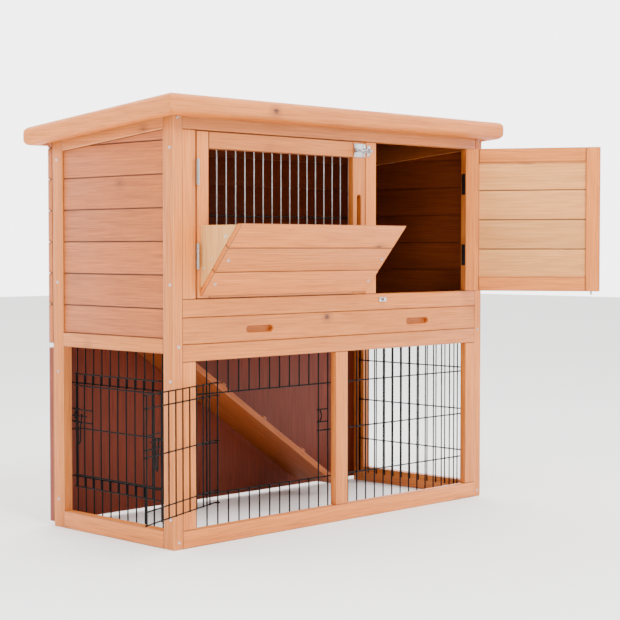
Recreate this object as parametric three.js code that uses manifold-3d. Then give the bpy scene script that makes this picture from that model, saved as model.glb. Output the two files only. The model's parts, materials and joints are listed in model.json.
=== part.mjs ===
// Two-storey rabbit hutch: timber frame, lean-to roof, closed room above, open wire run below.
// Millimetres, +Z up.  Written with the left outer face at X = 0, the front face at Y = 0 and the
// ground at Z = 0.  The finished group is moved so that its origin is the middle of the underside.
import * as THREE from 'three';
import { mergeVertices } from 'three/addons/utils/BufferGeometryUtils.js';
import Module from 'manifold-3d';

const wasm = await Module();
wasm.setup();

// ---- overall sizes ----
const WIDTH = 860;            // left outer face to right outer face
const DEPTH = 354;            // front face to the back of the rear posts
const GAP = 0.3;              // clearance between fixed pieces that touch
const EASE = 1.1;             // eased arrises on planed timber

// ---- side frames ----
const POST_T = 20;            // thickness of posts and side rails, across the hutch
const FRONT_POST_W = 28.5;
const REAR_POST_W = 31;
const BOTTOM_RAIL_H = 32;
const MID_RAIL_UP = 14.5;      // underside above that of the front rail beside it
const MID_RAIL_H = 26.6;
const TOP_RAIL_H = 38;
const CLAD_T = 9;
const CLAD_SET = 3;           // boards sit this far behind the face of the posts
const BOARD = 59.4;           // cover width of one board
const FIRST_BOARD = 52.5;     // the lowest board is cut narrower
const GROOVE = 2.2;           // half width and depth of the V between boards

// ---- front frame ----
const FRAME_T = 14;
const STILE_EDGE = 51.9;      // outer face to the edge of the door openings
const RUN_H = 299.5;          // heights up the front, from the bottom rail
const LOWER_TOP_H = 30.4;
const TRAY_H = 47.8;
const SILL_H = 32.1;
const DOORWAY_H = 299.3;
const HEAD_H = 59.2;          // door openings to the top of the roof at its front edge
const RUN_LEFT_W = 358.4;     // left opening of the run
const LOWER_MULLION_W = 34.4;
const LEFT_DOORWAY_W = 442.9;
const UPPER_MULLION_W = 31.1;

// ---- roof ----
const ROOF_SIDE = 33.9;       // overhang at each side
const ROOF_FRONT = 32.5;
const ROOF_BEHIND = 7.3;      // from the rear boards to the rear edging
const ROOF_FALL = 38;         // from the front edge down to the rear edge
const EDGE_H = 35.3;
const EDGE_T = 24;
const EDGE_R = 11;            // bullnose radius on the outer corners
const ROOF_BOARD_T = 12;
const ROOF_SET = 3;           // panel sits this far below the top of the edging

// ---- rear panels, floor, ramp ----
const REAR_T = 14;
const REAR_SPLIT = 0.8;       // middle of the split, above the underside of the side rails
const REAR_SEAM = 4;          // half the space between the two panels
const REAR_FOOT = 8;
const FLOOR_T = 9;
const RAMP_W = 128.6;
const RAMP_T = 11.4;
const RAMP_ANGLE = 34.16;
const RAMP_TOP_X = 165;
const RAMP_FOOT_Z = 25.2;     // underside of the lower end
const HOLE_L = 167;
const CLEAT = 6;
const CLEAT_PITCH = 112;

// ---- pull-out tray ----
const TRAY_GAP = 0.7;         // running clearance of the tray
const TRAY_SHEET = 1.5;
const TRAY_WALL = 30;
const FINGER_L = 68;
const FINGER_H = 12.5;
const FINGER_X = 222;         // finger slots either side of the middle

// ---- upper doors ----
const HINGE_GAP = 2.5;
const LATCH_GAP = 1.2;
const DOOR_GAP = 1.1;
const DOOR_STILE = 28.6;
const LATCH_STILE = 34.6;
const DOOR_RAIL = 29;
const DOOR_PANEL_T = 8;
const HINGE_R = 3;
const HINGE_AXIS_Y = -(HINGE_R + 0.4);
const HINGE_L = 46;
const HINGE_FROM_END = [75.1, 73];    // hinge middles from the foot and head of the door
const RIGHT_DOOR_OPEN = 120;  // degrees, as the door stands
const SLOT_W = 11;
const SLOT_UP = 117.1;        // foot of the finger slot above the foot of the door
const SLOT_L = 77;

// ---- hay feeder on the left door ----
const FEEDER_UP = 4.1;        // foot of the feeder above the foot of the door
const FEEDER_H = 128;
const FEEDER_IN = 8;          // distance of the left cheek from the hinge edge of the door
const FEEDER_OUT = 1.2;       // distance of the right cheek from the latch edge
const CHEEK_T = 9;
const CHEEK_TIP = 3;          // the cheeks end blunt at the foot
const FEEDER_REACH = 110;     // face of the boards in front of the door, at the top
const FEEDER_TOE = 3;         // the same at the foot, where the lowest board is bevelled
const FEEDER_BOARD_T = 10;

// ---- tower bolts ----
const BOLT_ROD = 2.2;
const BOLT_L = 32;
const BOLT_W = 26;
const BOLT_PLATE = 1.5;
const BOLT_OFF = 5.2;         // rod axis in front of the door face
const BOLT_END = 5;           // width of each bracket
const BOLT_TIP = 1;           // left bolt: rod end beyond its plate when drawn back
const PIN_DROP = 7;           // right bolt: how far the pin hangs below the door

// ---- wire ----
const WIRE = 2.4;
const GRILLE_PITCH = 23.1;
const GRILLE_LAP = 6;         // how far the grille reaches behind the stiles
const FRONT_PITCH = 26.15;
const SIDE_PITCH = 25.1;
const MESH_LAP = 12;          // how far the wire grids reach behind the frame
const LEFT_LAST = 6.15;       // last upright of the left grid, before the mullion
const RIGHT_FIRST = 16;       // first upright of the right grid, after the mullion
const SIDE_FIRST = 2.5;       // first upright of a side grid, after the front post
const FRONT_CROSS = [56.5, 61];   // lowest and highest cross wire, in from the rails
const SIDE_CROSS = [66, 69.5];
const WIRE_RUN = 0.5;         // clearance between a wire door and the wires behind it
const WEB = 0.6;              // how far crossing wires are fused into each other
const EYE_R = 4.3;            // outer radius of the eyes that hinge a wire door
const EYE_HOLE = 2.3;
const FRONT_DOOR_OPEN = 158;  // degrees, as the front wire door stands

// ---- derived ----
const LOWER_TOP_Z0 = BOTTOM_RAIL_H + RUN_H;
const LOWER_TOP_Z1 = LOWER_TOP_Z0 + LOWER_TOP_H;
const SILL_Z0 = LOWER_TOP_Z1 + TRAY_H;
const SILL_Z1 = SILL_Z0 + SILL_H;
const UPPER_TOP_Z = SILL_Z1 + DOORWAY_H;
const ROOF_FRONT_Z = UPPER_TOP_Z + HEAD_H;
const ROOF_REAR = GAP + REAR_T + ROOF_BEHIND + EDGE_T;
const SLOPE = ROOF_FALL / (ROOF_FRONT + DEPTH + ROOF_REAR);
const MID_RAIL_Z0 = LOWER_TOP_Z0 + MID_RAIL_UP;
const MID_RAIL_Z1 = MID_RAIL_Z0 + MID_RAIL_H;
const REAR_SPLIT_Z = MID_RAIL_Z0 + REAR_SPLIT;
const LOWER_MULLION = [STILE_EDGE + RUN_LEFT_W, STILE_EDGE + RUN_LEFT_W + LOWER_MULLION_W];
const UPPER_MULLION = [STILE_EDGE + LEFT_DOORWAY_W, STILE_EDGE + LEFT_DOORWAY_W + UPPER_MULLION_W];
const INNER_X0 = POST_T + GAP;
const INNER_X1 = WIDTH - POST_T - GAP;
const REAR_POST_Y = DEPTH - REAR_POST_W;
const BACK_Y = FRAME_T + GAP;             // rear face of the front frame, with clearance
const FLOOR_TOP = LOWER_TOP_Z1 - GAP;
const RAMP_TAN = Math.tan(THREE.MathUtils.degToRad(RAMP_ANGLE));
const RAMP_COS = Math.cos(THREE.MathUtils.degToRad(RAMP_ANGLE));
const RAMP_Y1 = REAR_POST_Y + REAR_POST_W - 6;
const RAMP_Y0 = RAMP_Y1 - RAMP_W;
const RAMP_END_X = RAMP_TOP_X + (FLOOR_TOP - GAP - RAMP_T / RAMP_COS - RAMP_FOOT_Z) / RAMP_TAN;
const HOLE_X0 = RAMP_TOP_X - GAP;
const HOLE_X1 = RAMP_TOP_X + HOLE_L;
const HOLE_Y0 = RAMP_Y0 - 6;
const HOLE_Y1 = RAMP_Y1 + 2;
const DOOR_Z0 = SILL_Z1 + DOOR_GAP;
const DOOR_Z1 = UPPER_TOP_Z - DOOR_GAP;
const HINGE_Z = [DOOR_Z0 + HINGE_FROM_END[0], DOOR_Z1 - HINGE_FROM_END[1]];
const SLOT_Z0 = DOOR_Z0 + SLOT_UP;
const SLOT_Z1 = SLOT_Z0 + SLOT_L;
const FEEDER_Z0 = DOOR_Z0 + FEEDER_UP;
const FEEDER_Z1 = FEEDER_Z0 + FEEDER_H;
const LEFT_X0 = STILE_EDGE + HINGE_GAP;
const LEFT_X1 = UPPER_MULLION[0] - LATCH_GAP;
const RIGHT_X0 = UPPER_MULLION[1] + LATCH_GAP;
const RIGHT_X1 = WIDTH - STILE_EDGE - HINGE_GAP;
const HINGE_IN = 2.3;                     // hinge pins stand this far inside the opening
const LEFT_PIN_X = STILE_EDGE + HINGE_IN;
const RIGHT_PIN_X = WIDTH - STILE_EDGE - HINGE_IN;

const WOOD = [0xe0a878, 0.62, 0.0];
const SIDE_WOOD = [0xd6996a, 0.64, 0.0];
const DARK_WOOD = [0xb06a42, 0.66, 0.0];
const FELT = [0x3c4440, 0.95, 0.0];
const ZINC = [0xc9ccd0, 0.35, 1.0];
const BLACK = [0x17171a, 0.45, 0.0];
const GALV = [0xb4b8ba, 0.4, 1.0];

const hutch = new THREE.Group();
hutch.name = 'rabbit_hutch';

// ---------- small helpers ----------
function put(name, geometry, look) {
  const [color, roughness, metalness] = look;
  const material = new THREE.MeshStandardMaterial({ color, roughness, metalness });
  const mesh = new THREE.Mesh(geometry, material);
  mesh.name = name;
  hutch.add(mesh);
  return mesh;
}

// height of the underside of the roof panel at depth y
function roofUnder(y) {
  return ROOF_FRONT_Z - SLOPE * (y + ROOF_FRONT) - ROOF_SET - ROOF_BOARD_T - GAP;
}

function shapeOf(points) {
  return new THREE.Shape(points.map(([u, v]) => new THREE.Vector2(u, v)));
}

// a shape extruded from 0 to depth along its own normal, both faces eased by ease
function slab(shape, depth, ease = 0) {
  const options = { depth: depth - 2 * ease, bevelEnabled: ease > 0, curveSegments: 6, steps: 1 };
  options.bevelThickness = ease;
  options.bevelSize = ease;
  options.bevelOffset = -ease;
  options.bevelSegments = 1;
  const geometry = new THREE.ExtrudeGeometry(shape, options);
  geometry.translate(0, 0, ease);
  return geometry;
}

// shape drawn in (x, z), extruded along +Y from y0
function alongY(shape, y0, y1, ease = 0) {
  const geometry = slab(shape, y1 - y0, ease);
  geometry.applyMatrix4(new THREE.Matrix4().set(1, 0, 0, 0, 0, 0, -1, y1, 0, 1, 0, 0, 0, 0, 0, 1));
  return geometry;
}

// shape drawn in (y, z), extruded along +X from x0
function alongX(shape, x0, x1, ease = 0) {
  const geometry = slab(shape, x1 - x0, ease);
  geometry.applyMatrix4(new THREE.Matrix4().set(0, 0, 1, x0, 1, 0, 0, 0, 0, 1, 0, 0, 0, 0, 0, 1));
  return geometry;
}

// shape drawn in (x, y), extruded up from z0
function alongZ(shape, z0, z1, ease = 0) {
  const geometry = slab(shape, z1 - z0, ease);
  geometry.translate(0, 0, z0);
  return geometry;
}

function rectangle(u0, u1, v0, v1) {
  return shapeOf([[u0, v0], [u1, v0], [u1, v1], [u0, v1]]);
}

function box(x0, x1, y0, y1, z0, z1) {
  const geometry = new THREE.BoxGeometry(x1 - x0, y1 - y0, z1 - z0);
  geometry.translate((x0 + x1) / 2, (y0 + y1) / 2, (z0 + z1) / 2);
  return geometry;
}

// a rounded-end slot in (u, v)
function slotPath(u, v, length, height) {
  const path = new THREE.Path();
  const r = height / 2;
  const h = length / 2 - r;
  path.moveTo(u - h, v + r);
  path.absarc(u - h, v, r, Math.PI / 2, Math.PI * 1.5, false);
  path.absarc(u + h, v, r, -Math.PI / 2, Math.PI / 2, false);
  return path;
}

function solid(geometry) {
  const plain = geometry.clone();
  plain.deleteAttribute('normal');
  plain.deleteAttribute('uv');
  const merged = mergeVertices(plain, 1e-4);
  const vertProperties = new Float32Array(merged.attributes.position.array);
  const triVerts = new Uint32Array(merged.index.array);
  return new wasm.Manifold(new wasm.Mesh({ numProp: 3, vertProperties, triVerts }));
}

function toGeometry(body) {
  const mesh = body.getMesh();
  const geometry = new THREE.BufferGeometry();
  geometry.setAttribute('position', new THREE.BufferAttribute(mesh.vertProperties, 3));
  geometry.setIndex(new THREE.BufferAttribute(mesh.triVerts, 1));
  geometry.computeVertexNormals();
  return geometry;
}

function fuse(geometries) {
  let body = solid(geometries[0]);
  for (const geometry of geometries.slice(1)) {
    body = body.add(solid(geometry));
  }
  return body;
}

function cut(body, geometries) {
  let rest = body;
  for (const geometry of geometries) {
    rest = rest.subtract(solid(geometry));
  }
  return rest;
}

function loose(geometry) {
  return geometry.index ? geometry.toNonIndexed() : geometry.clone();
}

// right-hand copy of a left-hand piece
function mirrored(geometry) {
  const copy = loose(geometry);
  const position = copy.attributes.position;
  for (let i = 0; i < position.count; i += 3) {
    const corners = [0, 1, 2].map((k) => new THREE.Vector3().fromBufferAttribute(position, i + k));
    [0, 2, 1].forEach((from, k) => {
      position.setXYZ(i + k, WIDTH - corners[from].x, corners[from].y, corners[from].z);
    });
  }
  copy.computeVertexNormals();
  return copy;
}

function turned(geometry, x, y, degrees) {
  geometry.translate(-x, -y, 0);
  geometry.rotateZ(THREE.MathUtils.degToRad(degrees));
  geometry.translate(x, y, 0);
  return geometry;
}

// ---------- side frames ----------
function sidePieces() {
  const y0 = FRONT_POST_W + GAP;
  const y1 = REAR_POST_Y - GAP;
  const clear = roofUnder;
  const post = (a, b) => shapeOf([[a, 0], [b, 0], [b, clear(b)], [a, clear(a)]]);
  const railZ = (y) => clear(y) - TOP_RAIL_H;
  const topRail = shapeOf([[y0, railZ(y0)], [y1, railZ(y1)], [y1, clear(y1)], [y0, clear(y0)]]);
  return {
    front_post: alongX(post(0, FRONT_POST_W), 0, POST_T, EASE),
    rear_post: alongX(post(REAR_POST_Y, DEPTH), 0, POST_T, EASE),
    bottom_rail: alongX(rectangle(y0, y1, 0, BOTTOM_RAIL_H), 0, POST_T, EASE),
    mid_rail: alongX(rectangle(y0, y1, MID_RAIL_Z0, MID_RAIL_Z1), 0, POST_T, EASE),
    top_rail: alongX(topRail, 0, POST_T, EASE),
    cladding: sideCladding(y0, y1, railZ),
  };
}

// tongue-and-groove boards between the posts, with a V on both faces at each joint
function sideCladding(y0, y1, railZ) {
  const z0 = MID_RAIL_Z1 + GAP;
  const shape = shapeOf([[y0, z0], [y1, z0], [y1, railZ(y1) - GAP], [y0, railZ(y0) - GAP]]);
  const x0 = CLAD_SET;
  const x1 = CLAD_SET + CLAD_T;
  const cuts = [];
  for (let z = boardLine(z0); z < railZ(y1) + BOARD; z += BOARD) {
    for (const x of [x0, x1]) {
      cuts.push(alongY(vee(x, z), y0 - 1, y1 + 1));
    }
  }
  return toGeometry(cut(solid(alongX(shape, x0, x1)), cuts));
}

function boardLine(z0) {
  return z0 + FIRST_BOARD;
}

function vee(u, v) {
  return shapeOf([[u - GROOVE, v], [u, v - GROOVE], [u + GROOVE, v], [u, v + GROOVE]]);
}

function buildSides() {
  for (const [name, geometry] of Object.entries(sidePieces())) {
    const look = name === 'cladding' ? SIDE_WOOD : WOOD;
    put(`side_left_${name}`, geometry, look);
    put(`side_right_${name}`, mirrored(geometry), look);
  }
}

// ---------- front frame ----------
function board(x0, x1, z0, z1) {
  return alongY(rectangle(x0, x1, z0, z1), 0, FRAME_T, EASE);
}

function buildFront() {
  const top = roofUnder(FRAME_T);
  const right = WIDTH - STILE_EDGE;
  const s = STILE_EDGE;
  put('front_top_rail', board(INNER_X0, INNER_X1, UPPER_TOP_Z, top), WOOD);
  put('front_sill_rail', board(INNER_X0, INNER_X1, SILL_Z0, SILL_Z1), WOOD);
  put('front_lower_top_rail', board(INNER_X0, INNER_X1, LOWER_TOP_Z0, LOWER_TOP_Z1), WOOD);
  put('front_bottom_rail', board(INNER_X0, INNER_X1, 0, BOTTOM_RAIL_H), WOOD);
  const storeys = { upper: [SILL_Z1, UPPER_TOP_Z], lower: [BOTTOM_RAIL_H, LOWER_TOP_Z0] };
  const posts = { upper: UPPER_MULLION, lower: LOWER_MULLION };
  for (const [storey, [a, b]] of Object.entries(storeys)) {
    const z0 = a + GAP;
    const z1 = b - GAP;
    put(`front_${storey}_left_stile`, board(INNER_X0, s, z0, z1), WOOD);
    put(`front_${storey}_right_stile`, board(right, INNER_X1, z0, z1), WOOD);
    put(`front_${storey}_mullion`, board(posts[storey][0], posts[storey][1], z0, z1), WOOD);
  }
}

// ---------- rear panels and floor ----------
function buildRear() {
  const y0 = DEPTH + GAP;
  const y1 = y0 + REAR_T;
  const top = roofUnder(y1);
  const upper = shapeOf([[y0, REAR_SPLIT_Z + REAR_SEAM], [y1, REAR_SPLIT_Z + REAR_SEAM], [y1, top],
    [y0, roofUnder(y0)]]);
  const cuts = [];
  for (let z = boardLine(MID_RAIL_Z1 + GAP); z < top - 10; z += BOARD) {
    for (const y of [y0, y1]) {
      cuts.push(alongX(vee(y, z), -1, WIDTH + 1));
    }
  }
  const boards = cut(solid(alongX(upper, 0, WIDTH)), cuts);
  put('rear_upper_boards', toGeometry(boards), SIDE_WOOD);
  const lower = rectangle(0, WIDTH, REAR_FOOT, REAR_SPLIT_Z - REAR_SEAM);
  put('rear_lower_panel', alongY(lower, y0, y1, EASE), DARK_WOOD);
}

function buildFloor() {
  const shape = rectangle(INNER_X0, INNER_X1, BACK_Y, DEPTH - 1);
  const hole = [[HOLE_X0, HOLE_Y0], [HOLE_X0, HOLE_Y1], [HOLE_X1, HOLE_Y1], [HOLE_X1, HOLE_Y0]];
  shape.holes.push(shapeOf(hole));
  put('upper_floor', alongZ(shape, FLOOR_TOP - FLOOR_T, FLOOR_TOP), DARK_WOOD);
}

// sloping board with nailed foot strips, cut plumb at both ends
function buildRamp() {
  const under = (x) => FLOOR_TOP - GAP - RAMP_T / RAMP_COS - (x - RAMP_TOP_X) * RAMP_TAN;
  const top = (x) => under(x) + RAMP_T / RAMP_COS;
  const points = [[RAMP_TOP_X, under(RAMP_TOP_X)], [RAMP_END_X, under(RAMP_END_X)]];
  points.push([RAMP_END_X, top(RAMP_END_X)]);
  const count = Math.floor((RAMP_END_X - RAMP_TOP_X - 40) / CLEAT_PITCH);
  for (let i = count; i >= 0; i -= 1) {
    const x = RAMP_TOP_X + 38 + i * CLEAT_PITCH;
    const rise = CLEAT / RAMP_COS;
    points.push([x + 9, top(x + 9)], [x + 9 + 3, top(x + 9) + rise - 3 * RAMP_TAN]);
    points.push([x + 3, top(x) + rise - 3 * RAMP_TAN], [x, top(x)]);
  }
  points.push([RAMP_TOP_X, top(RAMP_TOP_X)]);
  put('ramp', alongY(shapeOf(points), RAMP_Y0, RAMP_Y1), SIDE_WOOD);
}

// ---------- roof ----------
// every roof piece is drawn flat and then sheared to the fall of the roof
function pitched(geometry) {
  const position = geometry.attributes.position;
  for (let i = 0; i < position.count; i += 1) {
    const fall = SLOPE * (position.getY(i) + ROOF_FRONT);
    position.setZ(i, position.getZ(i) + ROOF_FRONT_Z - fall);
  }
  geometry.computeVertexNormals();
  return geometry;
}

// outline of the edging: u = 0 is the outer face, square on the inner side
function edgeProfile() {
  const shape = new THREE.Shape();
  shape.moveTo(EDGE_T, 0);
  shape.lineTo(EDGE_R, 0);
  shape.absarc(EDGE_R, -EDGE_R, EDGE_R, Math.PI / 2, Math.PI, false);
  shape.absarc(EDGE_R, EDGE_R - EDGE_H, EDGE_R, Math.PI, Math.PI * 1.5, false);
  shape.lineTo(EDGE_T, -EDGE_H);
  return shape;
}

// one length of edging along +X with its outer face at y = 0 and both ends mitred
function mitredEdge(length) {
  const options = { depth: 1, bevelEnabled: false, curveSegments: 4 };
  const geometry = new THREE.ExtrudeGeometry(edgeProfile(), options);
  const position = geometry.attributes.position;
  for (let i = 0; i < position.count; i += 1) {
    const u = position.getX(i);
    const v = position.getY(i);
    const far = position.getZ(i) > 0.5;
    const inset = u + GAP / 2;
    position.setXYZ(i, far ? length - inset : inset, u, v);
  }
  return geometry;
}

function buildRoof() {
  const x0 = -ROOF_SIDE;
  const x1 = WIDTH + ROOF_SIDE;
  const y0 = -ROOF_FRONT;
  const y1 = DEPTH + ROOF_REAR;
  const front = mitredEdge(x1 - x0).translate(x0, y0, 0);
  const rear = mitredEdge(x1 - x0).rotateZ(Math.PI).translate(x1, y1, 0);
  const left = mitredEdge(y1 - y0).rotateZ(-Math.PI / 2).translate(x0, y1, 0);
  const right = mitredEdge(y1 - y0).rotateZ(Math.PI / 2).translate(x1, y0, 0);
  for (const [name, geometry] of Object.entries({ front, rear, left, right })) {
    put(`roof_edge_${name}`, pitched(geometry), WOOD);
  }
  const inset = EDGE_T + GAP;
  const low = -ROOF_SET - ROOF_BOARD_T;
  const panel = box(x0 + inset, x1 - inset, y0 + inset, y1 - inset, low, -ROOF_SET);
  put('roof_panel', pitched(panel), FELT);
}

// ---------- pull-out tray ----------
function buildTray() {
  const z0 = LOWER_TOP_Z1 + TRAY_GAP;
  const z1 = SILL_Z0 - TRAY_GAP;
  const face = rectangle(INNER_X0 + TRAY_GAP, INNER_X1 - TRAY_GAP, z0, z1);
  for (const side of [-1, 1]) {
    face.holes.push(slotPath(WIDTH / 2 + side * FINGER_X, z0 + (z1 - z0) * 0.46, FINGER_L, FINGER_H));
  }
  put('tray_front', alongY(face, 0, FRAME_T, EASE), WOOD);
  const x0 = POST_T + 4;
  const x1 = WIDTH - x0;
  const y0 = BACK_Y;
  const y1 = DEPTH - 2;
  const top = z0 + TRAY_WALL;
  const t = TRAY_SHEET;
  const shell = cut(solid(box(x0, x1, y0, y1, z0, top)),
    [box(x0 + t, x1 - t, y0 + t, y1 - t, z0 + t, top + 5)]);
  const rim = box(HOLE_X0 - 4, HOLE_X1 + 4, HOLE_Y0 - 4, HOLE_Y1 + 0.5, z0 + t / 2, z0 + 14);
  const hole = box(HOLE_X0 - 4 + t, HOLE_X1 + 4 - t, HOLE_Y0 - 4 + t, HOLE_Y1 + 0.5 - t, z0 - 5, top);
  put('tray_pan', toGeometry(cut(shell.add(solid(rim)), [hole])), GALV);
}

// ---------- left door with its grille and hay feeder ----------
function buildLeftDoor() {
  const x0 = LEFT_X0 + DOOR_STILE;
  const x1 = LEFT_X1 - LATCH_STILE;
  const latch = rectangle(x1, LEFT_X1, DOOR_Z0, DOOR_Z1);
  const slotLength = SLOT_Z1 - SLOT_Z0;
  const slot = slotPath((SLOT_Z0 + SLOT_Z1) / 2, -(x1 + LATCH_STILE / 2), slotLength, SLOT_W);
  latch.holes.push(shapeOf(slot.getPoints(6).map((p) => [-p.y, p.x])));
  put('left_door_hinge_stile', board(LEFT_X0, x0, DOOR_Z0, DOOR_Z1), WOOD);
  put('left_door_latch_stile', alongY(latch, 0, FRAME_T, EASE), WOOD);
  put('left_door_top_rail', board(x0 + GAP, x1 - GAP, DOOR_Z1 - DOOR_RAIL - 2, DOOR_Z1), WOOD);
  put('left_door_bottom_rail', board(x0 + GAP, x1 - GAP, DOOR_Z0, DOOR_Z0 + DOOR_RAIL), WOOD);
  const y = BACK_Y + WIRE / 2;
  const a = x0 - GRILLE_LAP;
  const b = x1 + GRILLE_LAP;
  const ends = [a + WIRE / 2, b - WIRE / 2];
  const uprights = ends.map((x) => [x, DOOR_Z0 + 12, DOOR_Z1 - 12]);
  const count = Math.floor((x1 - x0) / GRILLE_PITCH) + 1;
  const first = (x0 + x1) / 2 - ((count - 1) * GRILLE_PITCH) / 2 + 6;
  for (let i = 0; i < count; i += 1) {
    uprights.push([first + i * GRILLE_PITCH, DOOR_Z0 + 12, DOOR_Z1 - 12]);
  }
  const middle = (DOOR_Z0 + DOOR_Z1) / 2 - 1;
  const cross = [DOOR_Z0 + 20, middle, DOOR_Z1 - 20].map((z) => [a, b, z]);
  put('left_door_grille', toGeometry(mesh(uprights, cross, y, 1)), GALV);
}

function buildFeeder() {
  const x0 = LEFT_X0 + FEEDER_IN;
  const x1 = LEFT_X1 - FEEDER_OUT;
  const back = -GAP;
  // three boards lying on the sloping edges of the cheeks, V joints on the outside
  const lean = (FEEDER_REACH - FEEDER_TOE) / FEEDER_H;
  const thick = FEEDER_BOARD_T * Math.hypot(1, lean);
  const outer = (z) => -FEEDER_TOE - lean * (z - FEEDER_Z0);
  const inner = (z) => outer(z) + thick;
  const meets = (y) => FEEDER_Z0 + (thick - FEEDER_TOE - y) / lean;
  const cheekTop = FEEDER_Z1 - 2;
  const cheek = shapeOf([[back, meets(back - CHEEK_TIP - GAP)], [back, cheekTop],
    [inner(cheekTop) + GAP, cheekTop], [back - CHEEK_TIP, meets(back - CHEEK_TIP - GAP)]]);
  put('feeder_left_cheek', alongX(cheek, x0, x0 + CHEEK_T, 0.5), WOOD);
  put('feeder_right_cheek', alongX(cheek, x1 - CHEEK_T, x1, 0.5), WOOD);
  const points = [[back, FEEDER_Z0], [back, meets(back)], [inner(FEEDER_Z1), FEEDER_Z1]];
  points.push([outer(FEEDER_Z1), FEEDER_Z1]);
  const step = (FEEDER_Z1 - FEEDER_Z0) / 3;
  for (const k of [2, 1]) {
    const z = FEEDER_Z0 + k * step;
    points.push([outer(z + GROOVE), z + GROOVE], [outer(z) + GROOVE * 1.4, z]);
    points.push([outer(z - GROOVE), z - GROOVE]);
  }
  points.push([outer(FEEDER_Z0), FEEDER_Z0]);
  put('feeder_front', alongX(shapeOf(points), x0, x1), WOOD);
}

// ---------- right door, drawn shut and then swung open ----------
function buildRightDoor() {
  const swing = (geometry) => turned(geometry, RIGHT_PIN_X, HINGE_AXIS_Y, RIGHT_DOOR_OPEN);
  const x0 = RIGHT_X0 + DOOR_STILE;
  const x1 = RIGHT_X1 - DOOR_STILE;
  const z0 = DOOR_Z0 + DOOR_RAIL;
  const z1 = DOOR_Z1 - DOOR_RAIL;
  put('right_door_latch_stile', swing(board(RIGHT_X0, x0, DOOR_Z0, DOOR_Z1)), WOOD);
  put('right_door_hinge_stile', swing(board(x1, RIGHT_X1, DOOR_Z0, DOOR_Z1)), WOOD);
  put('right_door_top_rail', swing(board(x0 + GAP, x1 - GAP, z1, DOOR_Z1)), WOOD);
  put('right_door_bottom_rail', swing(board(x0 + GAP, x1 - GAP, DOOR_Z0, z0)), WOOD);
  const y0 = 2;
  const y1 = y0 + DOOR_PANEL_T;
  const panel = solid(box(x0 + GAP, x1 - GAP, y0, y1, z0 + GAP, z1 - GAP));
  const cuts = [];
  const step = (z1 - z0) / 4;
  for (const k of [1, 2, 3]) {
    for (const y of [y0, y1]) {
      cuts.push(alongX(vee(y, z0 + k * step), x0 - 1, x1 + 1));
    }
  }
  put('right_door_panel', swing(toGeometry(cut(panel, cuts))), WOOD);
}

// ---------- butt hinges: barrel in front, leaf let into the gap beside the door ----------
function hinge(z) {
  const barrel = new THREE.CylinderGeometry(HINGE_R, HINGE_R, HINGE_L, 12);
  barrel.rotateX(Math.PI / 2);
  barrel.translate(LEFT_PIN_X, HINGE_AXIS_Y, z);
  const leaf = box(STILE_EDGE + GAP, STILE_EDGE + GAP + 0.9, HINGE_AXIS_Y, FRAME_T - 3,
    z - HINGE_L / 2 + 0.5, z + HINGE_L / 2 - 0.5);
  return toGeometry(fuse([barrel, leaf]));
}

function buildHinges() {
  ['lower', 'upper'].forEach((level, i) => {
    const geometry = hinge(HINGE_Z[i]);
    put(`left_hinge_${level}`, geometry, ZINC);
    put(`right_hinge_${level}`, mirrored(geometry), BLACK);
  });
}

// ---------- tower bolts ----------
// drawn with the rod along +U from u = 0, plate back on the door face, then placed
function boltBody() {
  const d = BOLT_PLATE + GAP;
  const plate = box(0, BOLT_L, -d, -GAP, -BOLT_W / 2, BOLT_W / 2);
  const far = BOLT_OFF + BOLT_ROD + 1.8;
  const w = BOLT_ROD + 2.4;
  const near = box(0, BOLT_END, -far, -d + 0.2, -w, w);
  const end = box(BOLT_L - BOLT_END, BOLT_L, -far, -d + 0.2, -w, w);
  return cut(fuse([plate, near, end]), [rodShape(-5, BOLT_L + 5, BOLT_ROD + 0.35)]);
}

function rodShape(u0, u1, r) {
  const rod = new THREE.CylinderGeometry(r, r, u1 - u0, 10);
  rod.rotateZ(Math.PI / 2);
  rod.translate((u0 + u1) / 2, -BOLT_OFF, 0);
  return rod;
}

function boltRod(u0, u1, knob) {
  const stem = new THREE.CylinderGeometry(1.7, 1.7, 8, 8);
  stem.translate(knob, -BOLT_OFF - 5, 0);
  return fuse([rodShape(u0, u1, BOLT_ROD), stem]);
}

function buildBolts() {
  const travel = BOLT_END + 2.5;
  const leftX = LEFT_X1 - BOLT_L - 1;
  const z = DOOR_Z1 - BOLT_W / 2 - 4;
  const place = (body) => toGeometry(body).translate(leftX, 0, z);
  put('left_bolt_body', place(boltBody()), ZINC);
  put('left_bolt_rod', place(boltRod(-2, BOLT_L + BOLT_TIP - 0.5, travel)), ZINC);
  const x = RIGHT_X0 + 18;
  const up = (body) => {
    const geometry = toGeometry(body);
    geometry.rotateY(Math.PI / 2);
    geometry.translate(x, 0, DOOR_Z0 + BOLT_L);
    return turned(geometry, RIGHT_PIN_X, HINGE_AXIS_Y, RIGHT_DOOR_OPEN);
  };
  put('right_bolt_body', up(boltBody()), ZINC);
  put('right_bolt_rod', up(boltRod(-10, BOLT_L + PIN_DROP, BOLT_L / 2)), ZINC);
}

// ---------- wire work ----------
// uprights [x, z0, z1] in the plane y, cross wires [x0, x1, z] fused on the side given
function mesh(uprights, cross, y, side) {
  const h = WIRE / 2;
  const yc = y + side * (WIRE - WEB);
  const wires = uprights.map(([x, a, b]) => box(x - h, x + h, y - h, y + h, a, b));
  cross.forEach(([a, b, z]) => wires.push(box(a, b, yc - h, yc + h, z - h, z + h)));
  return fuse(wires);
}

// heights of the three cross wires of a grid between two rails
function gridLevels(railTop, railUnder, [up, down]) {
  const low = railTop + up;
  const high = railUnder - down;
  return [low, (low + high) / 2, high];
}

function doorLevels(levels) {
  const [low, middle, high] = levels;
  return [low - 18, low + 4.5, middle + 4.5, high - 4.5, high + 18];
}

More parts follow.
